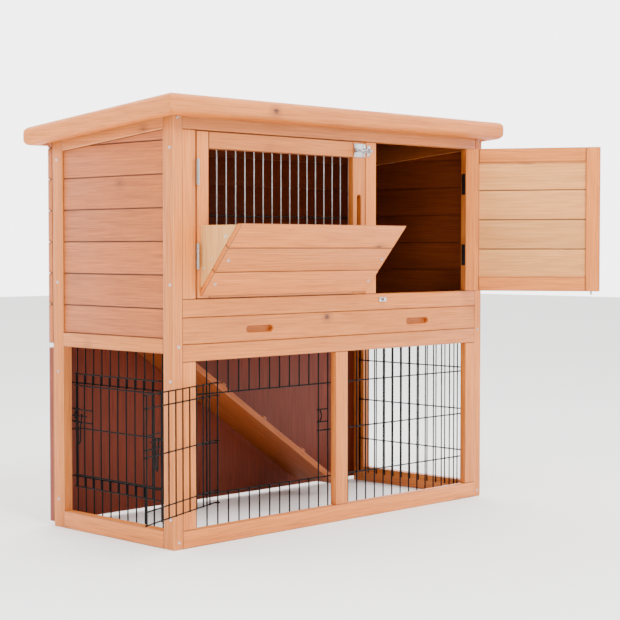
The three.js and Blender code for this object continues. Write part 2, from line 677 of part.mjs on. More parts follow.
// a fixed grid from a to b with an upright at each end, the others counted from first;
// door = [upright the door hangs on, pitches to the one it shuts on], or null
function grid(a, b, first, pitch, y, z0, z1, levels, door) {
  const uprights = [[a + WIRE / 2, z0, z1], [b - WIRE / 2, z0, z1]];
  const [hingeAt, cells] = door ?? [0, 0];
  for (let i = 0; first + i * pitch + WIRE / 2 <= b; i += 1) {
    const x = first + i * pitch;
    if (i > hingeAt && i < hingeAt + cells) {
      uprights.push([x, z0, levels[0] + WIRE / 2]);
      uprights.push([x, levels[2] - WIRE / 2, z1]);
    } else {
      uprights.push([x, z0, z1]);
    }
  }
  const cross = [[a, b, levels[0]], [a, b, levels[2]]];
  if (door) {
    cross.push([a, first + hingeAt * pitch + WIRE / 2, levels[1]]);
    cross.push([first + (hingeAt + cells) * pitch - WIRE / 2, b, levels[1]]);
  } else {
    cross.push([a, b, levels[1]]);
  }
  return mesh(uprights, cross, y, 1);
}

// a wire door hung by eyes on the upright at x; its wires stand in front of the grid
function wireDoor(x, y, pitch, cells, levels) {
  const h = WIRE / 2;
  const plane = y - WIRE - WIRE_RUN;
  const heights = doorLevels(levels);
  const uprights = [];
  for (let i = 1; i <= cells; i += 1) {
    uprights.push([x + i * pitch, heights[0] - h, heights[4] + h]);
  }
  const end = x + cells * pitch + h;
  const cross = heights.map((z) => [x + EYE_HOLE + 0.4, end, z]);
  let body = mesh(uprights, cross, plane, -1);
  for (const z of heights) {
    const eye = new THREE.Shape();
    eye.absarc(0, 0, EYE_R, 0, Math.PI * 2, false);
    const hole = new THREE.Path();
    hole.absarc(0, 0, EYE_HOLE, 0, Math.PI * 2, true);
    eye.holes.push(hole);
    const options = { depth: WIRE, bevelEnabled: false, curveSegments: 10 };
    const ring = new THREE.ExtrudeGeometry(eye, options);
    ring.translate(x, y, z - h);
    const arm = box(x + EYE_HOLE + 0.4, x + EYE_R, plane - 2 * WIRE + WEB, y, z - h, z + h);
    body = body.add(solid(ring)).add(solid(arm));
  }
  return body;
}

function buildWire() {
  const front = gridLevels(BOTTOM_RAIL_H, LOWER_TOP_Z0, FRONT_CROSS);
  const y = BACK_Y + WIRE / 2;
  const leftEnds = [STILE_EDGE - MESH_LAP, LOWER_MULLION[0] + MESH_LAP];
  const rightEnds = [LOWER_MULLION[1] - MESH_LAP, WIDTH - STILE_EDGE + MESH_LAP];
  const last = LOWER_MULLION[0] - LEFT_LAST;
  const steps = Math.floor((last - STILE_EDGE) / FRONT_PITCH);
  const leftFirst = last - steps * FRONT_PITCH;
  const rightFirst = LOWER_MULLION[1] + RIGHT_FIRST;
  const z0 = BOTTOM_RAIL_H - MESH_LAP;
  const z1 = LOWER_TOP_Z0 + MESH_LAP;
  // the door clears the stile when it stands open, and shuts on the last upright but one
  const turn = THREE.MathUtils.degToRad(180 - FRONT_DOOR_OPEN);
  const clearOf = STILE_EDGE + (y + 3 * WIRE) / Math.tan(turn);
  const hingeAt = Math.ceil((clearOf - leftFirst) / FRONT_PITCH);
  const cells = steps - 1 - hingeAt;
  const doorway = [hingeAt, cells];
  const left = grid(...leftEnds, leftFirst, FRONT_PITCH, y, z0, z1, front, doorway);
  put('front_left_grid', toGeometry(left), BLACK);
  const right = grid(...rightEnds, rightFirst, FRONT_PITCH, y, z0, z1, front, null);
  put('front_right_grid', toGeometry(right), BLACK);
  const hingeX = leftFirst + hingeAt * FRONT_PITCH;
  const door = toGeometry(wireDoor(hingeX, y, FRONT_PITCH, cells, front));
  put('front_wire_door', turned(door, hingeX, y, -FRONT_DOOR_OPEN), BLACK);

  // the side grids are drawn like the front ones and turned a quarter
  const side = gridLevels(BOTTOM_RAIL_H, MID_RAIL_Z0, SIDE_CROSS);
  const sideFirst = FRONT_POST_W + SIDE_FIRST;
  const sideEnds = [BACK_Y + SIDE_FIRST, REAR_POST_Y + MESH_LAP];
  const sideTop = FLOOR_TOP - FLOOR_T - WIRE - GAP;
  const toSide = (geometry) => {
    const place = new THREE.Matrix4().set(0, 1, 0, INNER_X0, 1, 0, 0, 0, 0, 0, 1, 0, 0, 0, 0, 1);
    return flipped(geometry.applyMatrix4(place));
  };
  const h = WIRE / 2;
  const plain = grid(...sideEnds, sideFirst, SIDE_PITCH, h, z0, sideTop, side, null);
  const sideCells = Math.floor((REAR_POST_Y - sideFirst) / SIDE_PITCH) - 1;
  const sideDoorway = [1, sideCells];
  const open = grid(...sideEnds, sideFirst, SIDE_PITCH, h, z0, sideTop, side, sideDoorway);
  put('side_left_grid', toSide(toGeometry(open)), BLACK);
  put('side_right_grid', mirrored(toSide(toGeometry(plain))), BLACK);
  const sideDoor = wireDoor(sideFirst + SIDE_PITCH, h, SIDE_PITCH, sideCells, side);
  put('side_wire_door', toSide(toGeometry(sideDoor)), BLACK);
}

// turn every triangle over, after a swap of two axes
function flipped(geometry) {
  const copy = loose(geometry);
  const position = copy.attributes.position;
  const hold = new THREE.Vector3();
  for (let i = 0; i < position.count; i += 3) {
    hold.fromBufferAttribute(position, i + 1);
    position.setXYZ(i + 1, position.getX(i + 2), position.getY(i + 2), position.getZ(i + 2));
    position.setXYZ(i + 2, hold.x, hold.y, hold.z);
  }
  copy.computeVertexNormals();
  return copy;
}

buildSides();
buildFront();
buildRear();
buildFloor();
buildRamp();
buildRoof();
buildTray();
buildLeftDoor();
buildFeeder();
buildRightDoor();
buildHinges();
buildBolts();
buildWire();

// origin at the middle of the underside of the whole hutch
const bounds = new THREE.Box3().setFromObject(hutch);
const middle = bounds.getCenter(new THREE.Vector3());
hutch.children.forEach((piece) => piece.geometry.translate(-middle.x, -middle.y, -bounds.min.z));

export default hutch;
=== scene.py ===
"""Looks for a two-storey rabbit hutch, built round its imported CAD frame."""

import json
import math
import random

import bmesh
import bpy
from mathutils import Matrix, Vector


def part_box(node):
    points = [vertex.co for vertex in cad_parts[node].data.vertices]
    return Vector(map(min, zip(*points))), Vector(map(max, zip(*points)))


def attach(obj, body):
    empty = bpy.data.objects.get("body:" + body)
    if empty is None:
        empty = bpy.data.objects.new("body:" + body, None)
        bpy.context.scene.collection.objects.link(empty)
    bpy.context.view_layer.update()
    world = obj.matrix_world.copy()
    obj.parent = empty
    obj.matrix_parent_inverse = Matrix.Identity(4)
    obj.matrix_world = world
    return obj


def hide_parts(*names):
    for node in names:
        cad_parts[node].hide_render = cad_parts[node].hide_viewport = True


bl_info = {
    "name": "Rabbit Hutch",
    "version": (1, 0, 0),
    "blender": (4, 5, 0),
    "location": "View3D > Sidebar > Hutch",
    "description": "Builds the timber, boards, wire and fittings of a rabbit hutch",
    "category": "Add Mesh",
}

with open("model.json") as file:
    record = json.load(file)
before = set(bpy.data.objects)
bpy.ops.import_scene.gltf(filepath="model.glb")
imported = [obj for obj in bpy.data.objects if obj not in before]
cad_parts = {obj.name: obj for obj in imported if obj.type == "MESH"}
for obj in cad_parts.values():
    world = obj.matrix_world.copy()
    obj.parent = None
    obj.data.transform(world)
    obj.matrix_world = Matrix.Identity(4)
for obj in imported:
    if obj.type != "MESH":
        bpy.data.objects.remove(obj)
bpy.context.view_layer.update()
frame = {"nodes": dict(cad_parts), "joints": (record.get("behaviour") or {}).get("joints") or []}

MM = 0.001
# hutch millimetres (left face, front face, ground) to the frame's metres
CORNER = Vector(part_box("side_left_front_post")[0])
ROOF_LOW, ROOF_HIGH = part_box("roof_panel")
PANEL_FALL = (ROOF_HIGH[2] - ROOF_LOW[2] - 12 * MM) / (ROOF_HIGH[1] - ROOF_LOW[1])


def at(x, y, z):
    """A point given in hutch millimetres, in the frame's metres."""
    return Vector((x * MM + CORNER.x, y * MM + CORNER.y, z * MM))


def linear(code):
    """An sRGB hex code as a linear colour."""
    channels = [(code >> shift & 255) / 255 for shift in (16, 8, 0)]
    return tuple(c / 12.92 if c < 0.04045 else ((c + 0.055) / 1.055) ** 2.4 for c in channels)


def joint(name):
    """The frame's record of one joint."""
    return next(j for j in frame["joints"] if j["name"] == name)


def length(name, description, default):
    return bpy.props.FloatProperty(
        name=name, description=description, default=default, unit="LENGTH", min=0.0, precision=4
    )


def colour(name, description, code):
    return bpy.props.FloatVectorProperty(
        name=name, description=description, default=linear(code), subtype="COLOR", min=0.0, max=1.0
    )


class HutchSizes(bpy.types.PropertyGroup):
    """Sizes of the details that the frame leaves plain."""

    arris: length("Arris", "Rounding of planed timber edges", 0.0013)
    board: length("Board", "Cover width of one wall board", 0.0594)
    board_ease: length("Board edge", "Chamfer between wall boards", 0.0011)
    wire: length("Wire", "Radius of the cage wire", 0.0014)
    bar: length("Bar", "Radius of the bars in the upper door", 0.0012)
    bullnose: length("Bullnose", "Radius on the roof edging", 0.011)
    screw: length("Screw", "Radius of a screw head", 0.0036)


class HutchColours(bpy.types.PropertyGroup):
    """Colours of the finishes."""

    wood_light: colour("Light wood", "Early wood of the stained fir", 0xDE8230)
    wood_dark: colour("Dark wood", "Late wood of the stained fir", 0xBC631C)
    board_light: colour("Light board", "Early wood of the wall boards", 0xCF702A)
    board_dark: colour("Dark board", "Late wood of the wall boards", 0xA4511E)
    # painted highlight: pale colour on the arrises, standing for light catching the edges
    arris: colour("Arris", "Pale wood where the stain is rubbed on an edge", 0xEDB47A)
    # painted shadow: dark colour on the arrises at joints, standing for the shade in the gaps between
    # parts
    joint: colour("Joint", "Dark line between two boards", 0x4A2412)
    # painted shade: colour of the inner faces, standing for the shade inside the hutch
    inside: colour("Inside", "Tint that the stain takes inside the hutch", 0x66280F)
    # painted light: the right door's boards are coloured lighter than the others, standing for the light
    # that falls on the open door
    lit_door_light: colour("Light door board", "Early wood of the right door's boards", 0xE5A058)
    lit_door_dark: colour("Dark door board", "Late wood of the right door's boards", 0xCC823C)
    pale_light: colour("Light pale wood", "Early wood of the feeder's cheeks", 0xF2B970)
    pale_dark: colour("Dark pale wood", "Late wood of the feeder's cheeks", 0xDD9A52)
    knot: colour("Knot", "Heart of a knot", 0x5A2A10)
    ply_light: colour("Light plywood", "Face veneer of the plywood", 0x8C3008)
    ply_dark: colour("Dark plywood", "Grain of the plywood", 0x641E02)
    felt: colour("Felt", "Mineral roofing felt", 0x3F4744)
    zinc: colour("Zinc", "Bright zinc plate", 0xBFC2C6)
    black: colour("Black", "Black powder coat", 0x020202)
    floor: colour("Floor", "Studio floor", 0xF4F3F1)


def sizes():
    return bpy.context.scene.hutch_sizes


def colours():
    return bpy.context.scene.hutch_colours


# ---------------------------------------------------------------- materials


def add(tree, kind, settings=None, **links):
    """A node of that kind with its settings; links go to sockets by name, values are set."""
    node = tree.nodes.new(kind)
    for key, value in (settings or {}).items():
        setattr(node, key, value)
    for key, value in links.items():
        socket = node.inputs[int(key[1:])] if key[0] == "_" else node.inputs[key.replace("_", " ")]
        if isinstance(value, bpy.types.NodeSocket):
            tree.links.new(value, socket)
        else:
            socket.default_value = value
    return node


def blank(name):
    """A new material with an empty node tree, its surface shader and its output."""
    material = bpy.data.materials.new(name)
    material.use_nodes = True
    tree = material.node_tree
    tree.nodes.clear()
    shader = tree.nodes.new("ShaderNodeBsdfPrincipled")
    output = tree.nodes.new("ShaderNodeOutputMaterial")
    tree.links.new(shader.outputs["BSDF"], output.inputs["Surface"])
    return material, tree, shader


def ramp(tree, fac, stops):
    node = add(tree, "ShaderNodeValToRGB", Fac=fac)
    elements = node.color_ramp.elements
    while len(elements) < len(stops):
        elements.new(0.5)
    for element, (position, value) in zip(elements, stops):
        element.position = position
        element.color = (*value, 1.0) if len(value) == 3 else value
    return node.outputs["Color"]


def mix(tree, kind, factor, a, b):
    settings = {"data_type": "RGBA", "blend_type": kind, "clamp_factor": True}
    node = add(tree, "ShaderNodeMix", settings, Factor=factor, _6=a, _7=b)
    return node.outputs[2]


def grey(value):
    return (value, value, value)


def sums(tree, operation, *values):
    """A maths node's result."""
    links = {f"_{i}": value for i, value in enumerate(values)}
    return add(tree, "ShaderNodeMath", {"operation": operation}, **links).outputs[0]


def attribute(tree, name):
    return add(tree, "ShaderNodeAttribute", {"attribute_name": name}).outputs["Fac"]


def mapped(tree, vector, scale, turn=(0.0, 0.0, 0.0)):
    """Coordinates turned into a frame whose unit lengths are scale."""
    return add(
        tree, "ShaderNodeMapping", {"vector_type": "TEXTURE"}, Vector=vector, Rotation=turn, Scale=scale
    ).outputs[0]


def bumped(tree, shader, height, strength, distance):
    bump = add(tree, "ShaderNodeBump", Height=height, Strength=strength, Distance=distance)
    tree.links.new(bump.outputs[0], shader.inputs["Normal"])


def wood(name, grain, light, dark, turn=(0.0, 0.0, 0.0), knots=True):
    """Stained softwood: streaks and growth lines along one axis, sparse knots, a painted highlight on
    pale arrises, a painted shadow on dark arrises at joints, and painted shade on inner faces.
    """
    if name in bpy.data.materials:
        return bpy.data.materials[name]
    material, tree, shader = blank(name)
    c = colours()
    coords = tree.nodes.new("ShaderNodeTexCoord").outputs["Object"]
    tone = attribute(tree, "tone")
    edge = attribute(tree, "arris")
    inner = attribute(tree, "inner")
    # each board is cut from its own place in the tree
    shift = add(tree, "ShaderNodeVectorMath", {"operation": "SCALE"}, _0=(3.1, 5.3, 2.7), Scale=tone)
    moved = add(tree, "ShaderNodeVectorMath", {"operation": "ADD"}, _0=coords, _1=shift.outputs[0])
    turned = mapped(tree, moved.outputs[0], (1.0, 1.0, 1.0), turn)
    # fibres 2.6 mm wide and 100 mm long, then growth lines bent by a slow noise
    fine = mapped(tree, turned, tuple(0.1 if axis == grain else 0.0026 for axis in "XYZ"))
    wide = mapped(tree, turned, tuple(0.5 if axis == grain else 0.0208 for axis in "XYZ"))
    fibre = add(tree, "ShaderNodeTexNoise", Vector=fine, Scale=1.0, Detail=7.0, Roughness=0.62).outputs[0]
    slow = add(tree, "ShaderNodeTexNoise", Vector=wide, Scale=1.0, Detail=3.0, Roughness=0.5).outputs[0]
    rings = sums(tree, "FRACT", sums(tree, "MULTIPLY", slow, 9.0))
    late = ramp(tree, rings, [(0.0, grey(0.0)), (0.62, grey(0.12)), (0.93, grey(1.0)), (1.0, grey(0.0))])
    body = ramp(tree, fibre, [(0.27, tuple(dark)), (0.66, tuple(light))])
    lines = mix(tree, "MIX", late, (1, 1, 1, 1), (0.56, 0.4, 0.28, 1))
    body = mix(tree, "MULTIPLY", 0.26, body, lines)
    patch = ramp(tree, slow, [(0.35, grey(0.9)), (0.65, grey(1.06))])
    body = mix(tree, "MULTIPLY", 0.75, body, patch)
    shade = add(tree, "ShaderNodeMapRange", Value=tone, _1=0.0, _2=1.0, _3=0.86, _4=1.1).outputs[0]
    body = mix(tree, "MULTIPLY", 1.0, body, shade)
    if knots:
        cells = mapped(tree, turned, tuple(0.16 if axis == grain else 0.11 for axis in "XYZ"))
        spot = add(tree, "ShaderNodeTexVoronoi", Vector=cells, Scale=1.0, Randomness=1.0)
        ragged = sums(tree, "MULTIPLY_ADD", fibre, 0.05, spot.outputs["Distance"])
        heart = ramp(tree, ragged, [(0.055, grey(1.0)), (0.085, grey(0.35)), (0.17, grey(0.0))])
        body = mix(tree, "MIX", heart, body, (*c.knot, 1.0))
    # painted highlight: the arris colour on edges with a positive arris value, standing for light
    # catching the edges
    pale = ramp(tree, edge, [(0.0, grey(0.0)), (1.0, grey(0.3))])
    body = mix(tree, "MIX", pale, body, (*c.arris, 1.0))
    # painted shadow: the joint colour on edges with a negative arris value, standing for the shade in the
    # gaps between parts
    gap_shade = sums(tree, "MAXIMUM", sums(tree, "MULTIPLY", edge, -0.8), 0.0)
    body = mix(tree, "MIX", gap_shade, body, (*c.joint, 1.0))
    # painted shade: inner faces take the darker inside colour and less specular, standing for the shade
    # inside the hutch
    depth = ramp(tree, fibre, [(0.25, grey(0.65)), (0.7, grey(1.15))])
    body = mix(tree, "MIX", inner, body, mix(tree, "MULTIPLY", 1.0, (*c.inside, 1.0), depth))
    tree.links.new(body, shader.inputs["Base Color"])
    shine = sums(tree, "MULTIPLY_ADD", inner, -0.42, 0.5)
    tree.links.new(shine, shader.inputs["Specular IOR Level"])
    rough = ramp(tree, fibre, [(0.3, grey(0.62)), (0.7, grey(0.46))])
    tree.links.new(rough, shader.inputs["Roughness"])
    bumped(tree, shader, fibre, 0.35, 0.0005)
    return material


def fir(grain, turn=(0.0, 0.0, 0.0), tag=""):
    """Planed fir of the frame and doors, warm clear stain."""
    c = colours()
    return wood(f"stained fir {grain}{tag}", grain, c.wood_light, c.wood_dark, turn)


def boards(grain, turn=(0.0, 0.0, 0.0), tag=""):
    """Slightly redder fir of the wall boards."""
    c = colours()
    return wood(f"fir board {grain}{tag}", grain, c.board_light, c.board_dark, turn)


def plywood(grain):
    """Stained plywood of the rear panel and the floor."""
    c = colours()
    return wood(f"stained plywood {grain}", grain, c.ply_light, c.ply_dark, knots=False)


def roofing_felt():
    """Mineral felt: pressed slate grains over a slightly uneven sheet."""
    material, tree, shader = blank("mineral felt")
    c = colours()
    coords = tree.nodes.new("ShaderNodeTexCoord").outputs["Object"]
    grains = add(tree, "ShaderNodeTexVoronoi", Vector=coords, Scale=900.0, Randomness=1.0)
    drift = add(tree, "ShaderNodeTexNoise", Vector=coords, Scale=7.0, Detail=4.0)
    base = mix(tree, "MIX", 0.5, (*c.felt, 1.0), grains.outputs["Color"])
    base = mix(tree, "MIX", 0.62, base, (*c.felt, 1.0))
    patch = ramp(tree, drift.outputs["Fac"], [(0.3, grey(0.75)), (0.7, grey(1.15))])
    tree.links.new(mix(tree, "MULTIPLY", 1.0, base, patch), shader.inputs["Base Color"])
    shader.inputs["Roughness"].default_value = 0.93
    bumped(tree, shader, grains.outputs["Distance"], 0.6, 0.0006)
    return material


def metal(name, base, rough, scale, metallic=1.0, mottle=0.15, sheen=0.5):
    """Plated or coated steel with fine variation in colour and gloss."""
    if name in bpy.data.materials:
        return bpy.data.materials[name]
    material, tree, shader = blank(name)
    coords = tree.nodes.new("ShaderNodeTexCoord").outputs["Object"]
    cloud = add(tree, "ShaderNodeTexNoise", Vector=coords, Scale=scale, Detail=4.0, Roughness=0.6)
    shade = ramp(tree, cloud.outputs["Fac"], [(0.3, grey(1.0 - mottle)), (0.7, grey(1.0 + mottle / 2))])
    tree.links.new(mix(tree, "MULTIPLY", 1.0, (*base, 1.0), shade), shader.inputs["Base Color"])
    gloss = ramp(tree, cloud.outputs["Fac"], [(0.3, grey(rough - 0.06)), (0.7, grey(rough + 0.08))])
    tree.links.new(gloss, shader.inputs["Roughness"])
    shader.inputs["Metallic"].default_value = metallic
    shader.inputs["Specular IOR Level"].default_value = sheen
    bumped(tree, shader, cloud.outputs["Fac"], 0.15, 0.0002)
    return material


def zinc():
    """Bright zinc plate on screws, hinges and bolts."""
    return metal("zinc plate", colours().zinc, 0.3, 900.0)


def galvanised():
    """Galvanised steel of the bars and the tray."""
    return metal("galvanised steel", linear(0xC3C6C8), 0.36, 160.0, mottle=0.25)


def black_coat():
    """Black powder coat on the cage wire."""
    return metal("black powder coat", colours().black, 0.5, 1200.0, metallic=0.0, sheen=0.12)


def black_steel():
    """Black steel of the right door's hinges."""
    return metal("black hinge steel", linear(0x18181A), 0.36, 700.0, metallic=0.0)


# ---------------------------------------------------------------- mesh helpers


def start():
    bm = bmesh.new()
    bm.faces.layers.float.new("tone")
    bm.faces.layers.float.new("arris")
    bm.faces.layers.float.new("inner")
    return bm


def paint_inner_shade(bm, direction, amount=1.0):
    """Marks the faces that look that way with painted shade, the darker colour of the shaded inside of
    the hutch.
    """
    inner = bm.faces.layers.float["inner"]
    bm.normal_update()
    for face in bm.faces:
        if face.normal.dot(Vector(direction)) > 0.5:
            face[inner] = amount


def finish_piece(bm, name, material, body, *nodes, smooth=35.0, slot=None):
    """Turns the bmesh into a piece in the scene that rides on a body and stands for CAD nodes."""
    mesh = bpy.data.meshes.new(name)
    bm.to_mesh(mesh)
    bm.free()
    mesh.materials.append(material)
    mesh.shade_smooth()
    mesh.set_sharp_from_angle(angle=math.radians(smooth))
    piece = bpy.data.objects.new(name, mesh)
    bpy.context.scene.collection.objects.link(piece)
    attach(piece, body)
    if nodes:
        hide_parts(*nodes)
    return piece


def cut_away(bm, geom, point, normal):
    """Cuts away what lies on the normal's side of a plane and closes the cut."""
    made = bmesh.ops.bisect_plane(bm, geom=geom, plane_co=point, plane_no=normal, clear_outer=True)
    edges = [g for g in made["geom_cut"] if isinstance(g, bmesh.types.BMEdge)]
    bmesh.ops.holes_fill(bm, edges=edges, sides=0)


def everything(bm):
    return [*bm.verts, *bm.edges, *bm.faces]


def place(bm, turn, spot, verts=None):
    """Turns vertices about the origin, then moves them; all of them unless they are named."""
    verts = verts or list(bm.verts)
    bmesh.ops.rotate(bm, verts=verts, cent=(0, 0, 0), matrix=turn)
    bmesh.ops.translate(bm, verts=verts, vec=spot)


def dress(node, material):
    """Gives a CAD node's own mesh its material."""
    materials = frame["nodes"][node].data.materials
    materials.clear()
    materials.append(material)


def block(bm, low, high, ease, tone=0.5, cuts=(), segments=3, edge_light=1.0):
    """A timber from corner to corner, cut by planes (point, normal), its arrises rounded.

    The last argument is how strong a painted highlight lies on the arrises, or below 0 how dark a painted
    shadow lies on them, standing for the shade in the joint.
    """
    old = set(bm.faces)
    low, high = Vector(low), Vector(high)
    middle = Matrix.Translation((low + high) / 2)
    scale = Matrix.Diagonal((*(high - low), 1.0))
    bmesh.ops.create_cube(bm, size=1.0, matrix=middle @ scale)
    for point, normal in cuts:
        faces = [f for f in bm.faces if f not in old]
        edges = {e for f in faces for e in f.edges}
        cut_away(bm, [*faces, *edges, *{v for f in faces for v in f.verts}], point, normal)
    faces = [f for f in bm.faces if f not in old]
    edges = list({e for f in faces for e in f.edges})
    worn = bmesh.ops.bevel(
        bm, geom=edges, offset=ease, segments=segments, affect="EDGES", profile=0.5, material=-1
    )["faces"]
    faces = [f for f in bm.faces if f not in old]
    tones, arrises = bm.faces.layers.float["tone"], bm.faces.layers.float["arris"]
    for face in faces:
        face[tones] = tone
        face[arrises] = 0.0
    for face in worn:
        face[arrises] = edge_light
    return faces


def rod(bm, start_point, end_point, radius, segments=10, tip=None):
    """A round wire or pin between two points."""
    a, b = Vector(start_point), Vector(end_point)
    along = b - a
    turn = along.to_track_quat("Z", "Y").to_matrix().to_4x4()
    matrix = Matrix.Translation((a + b) / 2) @ turn
    bmesh.ops.create_cone(
        bm, cap_ends=True, segments=segments, radius1=radius, radius2=tip or radius,
        depth=along.length, matrix=matrix,
    )


def bent(bm, points, radius, segments=10):
    """A wire through several points, with a ball at each bend."""
    for a, b in zip(points, points[1:]):
        rod(bm, a, b, radius, segments)
    for point in points[1:-1]:
        bmesh.ops.create_uvsphere(
            bm, u_segments=segments, v_segments=6, radius=radius, matrix=Matrix.Translation(point)
        )


def ring(bm, centre, radius, thickness, axis="Z", steps=16, segments=8):
    """A closed ring of round wire."""
    made = bmesh.ops.create_circle(bm, segments=segments, radius=thickness)["verts"]
    bmesh.ops.rotate(bm, verts=made, cent=(0, 0, 0), matrix=Matrix.Rotation(math.pi / 2, 3, "X"))
    bmesh.ops.translate(bm, verts=made, vec=(radius, 0, 0))
    edges = list({e for v in made for e in v.link_edges})
    old = set(bm.verts) - set(made)
    bmesh.ops.spin(
        bm, geom=made + edges, cent=(0, 0, 0), axis=(0, 0, 1), angle=math.tau, steps=steps, use_merge=True
    )
    verts = [v for v in bm.verts if v not in old]
    if axis != "Z":
        turn = Matrix.Rotation(math.pi / 2, 3, "Y" if axis == "X" else "X")
        bmesh.ops.rotate(bm, verts=verts, cent=(0, 0, 0), matrix=turn)
    bmesh.ops.translate(bm, verts=verts, vec=centre)
    faces = list({f for v in verts for f in v.link_faces})
    bmesh.ops.recalc_face_normals(bm, faces=faces)


def plate(bm, low, high, ease=0.0004):
    """A small metal plate with broken edges."""
    return block(bm, low, high, ease, segments=2)


def screw_head(bm, point, normal, radius):
    """A domed screw head with a cross recess, sunk a little into the timber."""
    normal = Vector(normal).normalized()
    turn = normal.to_track_quat("Z", "Y").to_matrix().to_4x4()
    matrix = Matrix.Translation(Vector(point)) @ turn
    old = set(bm.faces)
    bmesh.ops.create_cone(
        bm, cap_ends=True, segments=16, radius1=radius, radius2=radius * 0.72,
        depth=radius * 0.5, matrix=matrix,
    )
    faces = [f for f in bm.faces if f not in old]
    top = max(faces, key=lambda f: f.normal.dot(normal) * 10 + f.calc_center_median().dot(normal))
    bmesh.ops.inset_individual(bm, faces=[top], thickness=radius * 0.38, depth=0.0)
    bmesh.ops.translate(bm, verts=list(top.verts), vec=-normal * radius * 0.3)


def swing(bm, pivot, degrees):
    """Turns everything in the bmesh about an upright axis."""
    turn = Matrix.Rotation(math.radians(degrees), 3, "Z")
    bmesh.ops.rotate(bm, verts=list(bm.verts), cent=pivot, matrix=turn)


def slope_cut(point, upper=True):
    """A plane parallel to the roof through a point, cutting away what is above or below it."""
    normal = Vector((0.0, PANEL_FALL, 1.0)).normalized()
    return (Vector(point), normal if upper else -normal)


class Luck:
    """Seeded tones, the same on every run."""

    source = random.Random(11)

    @classmethod
    def tone(cls):
        return cls.source.random()


# ---------------------------------------------------------------- timber frame

WIDTH = 860
DEPTH = 354
STILE_EDGE = 51.9
FRAME_T = 14
MID_RAIL_TOP = 372.9
FIRST_BOARD = 52.5
LEAST_BOARD = 0.004
POSTS = ("front_post", "rear_post")
FRONT_LEVEL = (
    "front_top_rail", "front_sill_rail", "front_lower_top_rail", "front_bottom_rail",
)
FRONT_UPRIGHT = (
    "front_upper_left_stile", "front_upper_right_stile", "front_upper_mullion",
    "front_lower_left_stile", "front_lower_right_stile", "front_lower_mullion",
)


def timber(node, material, body="frame", cuts=(), edge_light=1.0, inside=None):
    """One timber in the place of one CAD node; inside = the way its inner face looks, which takes painted
    shade.
    """
    low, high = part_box(node)
    bm = start()
    block(bm, low, high, sizes().arris, Luck.tone(), cuts, edge_light=edge_light)
    if inside:
        paint_inner_shade(bm, inside, 0.8)
    return finish_piece(bm, f"{node}_timber", material, body, node)


# painted shadow on the arrises of the frame's rails and stiles, standing for the shade in their joints
JOINT_SHADE = -0.55


class HUTCH_OT_timber_frame(bpy.types.Operator):
    """Posts, rails, stiles and mullions"""

    bl_idname = "hutch.timber_frame"
    bl_label = "Timber frame"

    def execute(self, context):
        for side in ("left", "right"):
            for post in POSTS:
                node = f"side_{side}_{post}"
                low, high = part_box(node)
                # the posts keep a painted highlight on their arrises
                timber(node, fir("Z"), cuts=[slope_cut((0, low[1], high[2]))])
            for rail in ("bottom_rail", "mid_rail"):
                timber(f"side_{side}_{rail}", fir("Y"), edge_light=JOINT_SHADE)
            node = f"side_{side}_top_rail"
            low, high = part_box(node)
            cuts = [slope_cut((0, low[1], high[2])), slope_cut((0, high[1], low[2]), upper=False)]
            # painted highlight on the arrises, painted shade on the inner face
            timber(node, fir("Y"), cuts=cuts, inside=(1 if side == "left" else -1, 0, 0))
        for node in FRONT_LEVEL:
            timber(node, fir("X"), edge_light=JOINT_SHADE)
        for node in FRONT_UPRIGHT:
            timber(node, fir("Z"), edge_light=JOINT_SHADE)
        return {"FINISHED"}


# ---------------------------------------------------------------- boarded walls


def boarded(bm, low, high, lines, ease, cuts=(), across="Z"):
    """Boards between the lines, chamfered where they meet, over a thin tongue that stops light."""
    low, high = Vector(low), Vector(high)
    i = "XYZ".index(across)
    thin = 1 if high.x - low.x > high.y - low.y else 0
    for a, b in zip(lines, lines[1:]):
        p, q = low.copy(), high.copy()
        p[i], q[i] = a + 0.0004, b - 0.0004
        # the chamfers carry a painted shadow, standing for the shade in the gaps between boards
        block(bm, p, q, ease, Luck.tone(), cuts if b >= lines[-1] - 0.12 else (), segments=2, edge_light=-1.0)
    for line in lines[1:-1]:
        p, q = low.copy(), high.copy()
        middle = (low[thin] + high[thin]) / 2
        p[thin], q[thin] = middle - 0.001, middle + 0.001
        p[i], q[i] = line - 0.006, line + 0.006
        block(bm, p, q, 0.0002, 0.0, cuts if line >= lines[-1] - 0.12 else (), segments=1, edge_light=-1.0)


def wall_lines(low, high):
    """Heights of the joints, the same on every wall."""
    first = at(0, 0, MID_RAIL_TOP + FIRST_BOARD).z
    pitch = sizes().board
    count = math.ceil((high - first) / pitch)
    heights = [first + k * pitch for k in range(count)]
    return [low, *(z for z in heights if z > low + LEAST_BOARD), high]


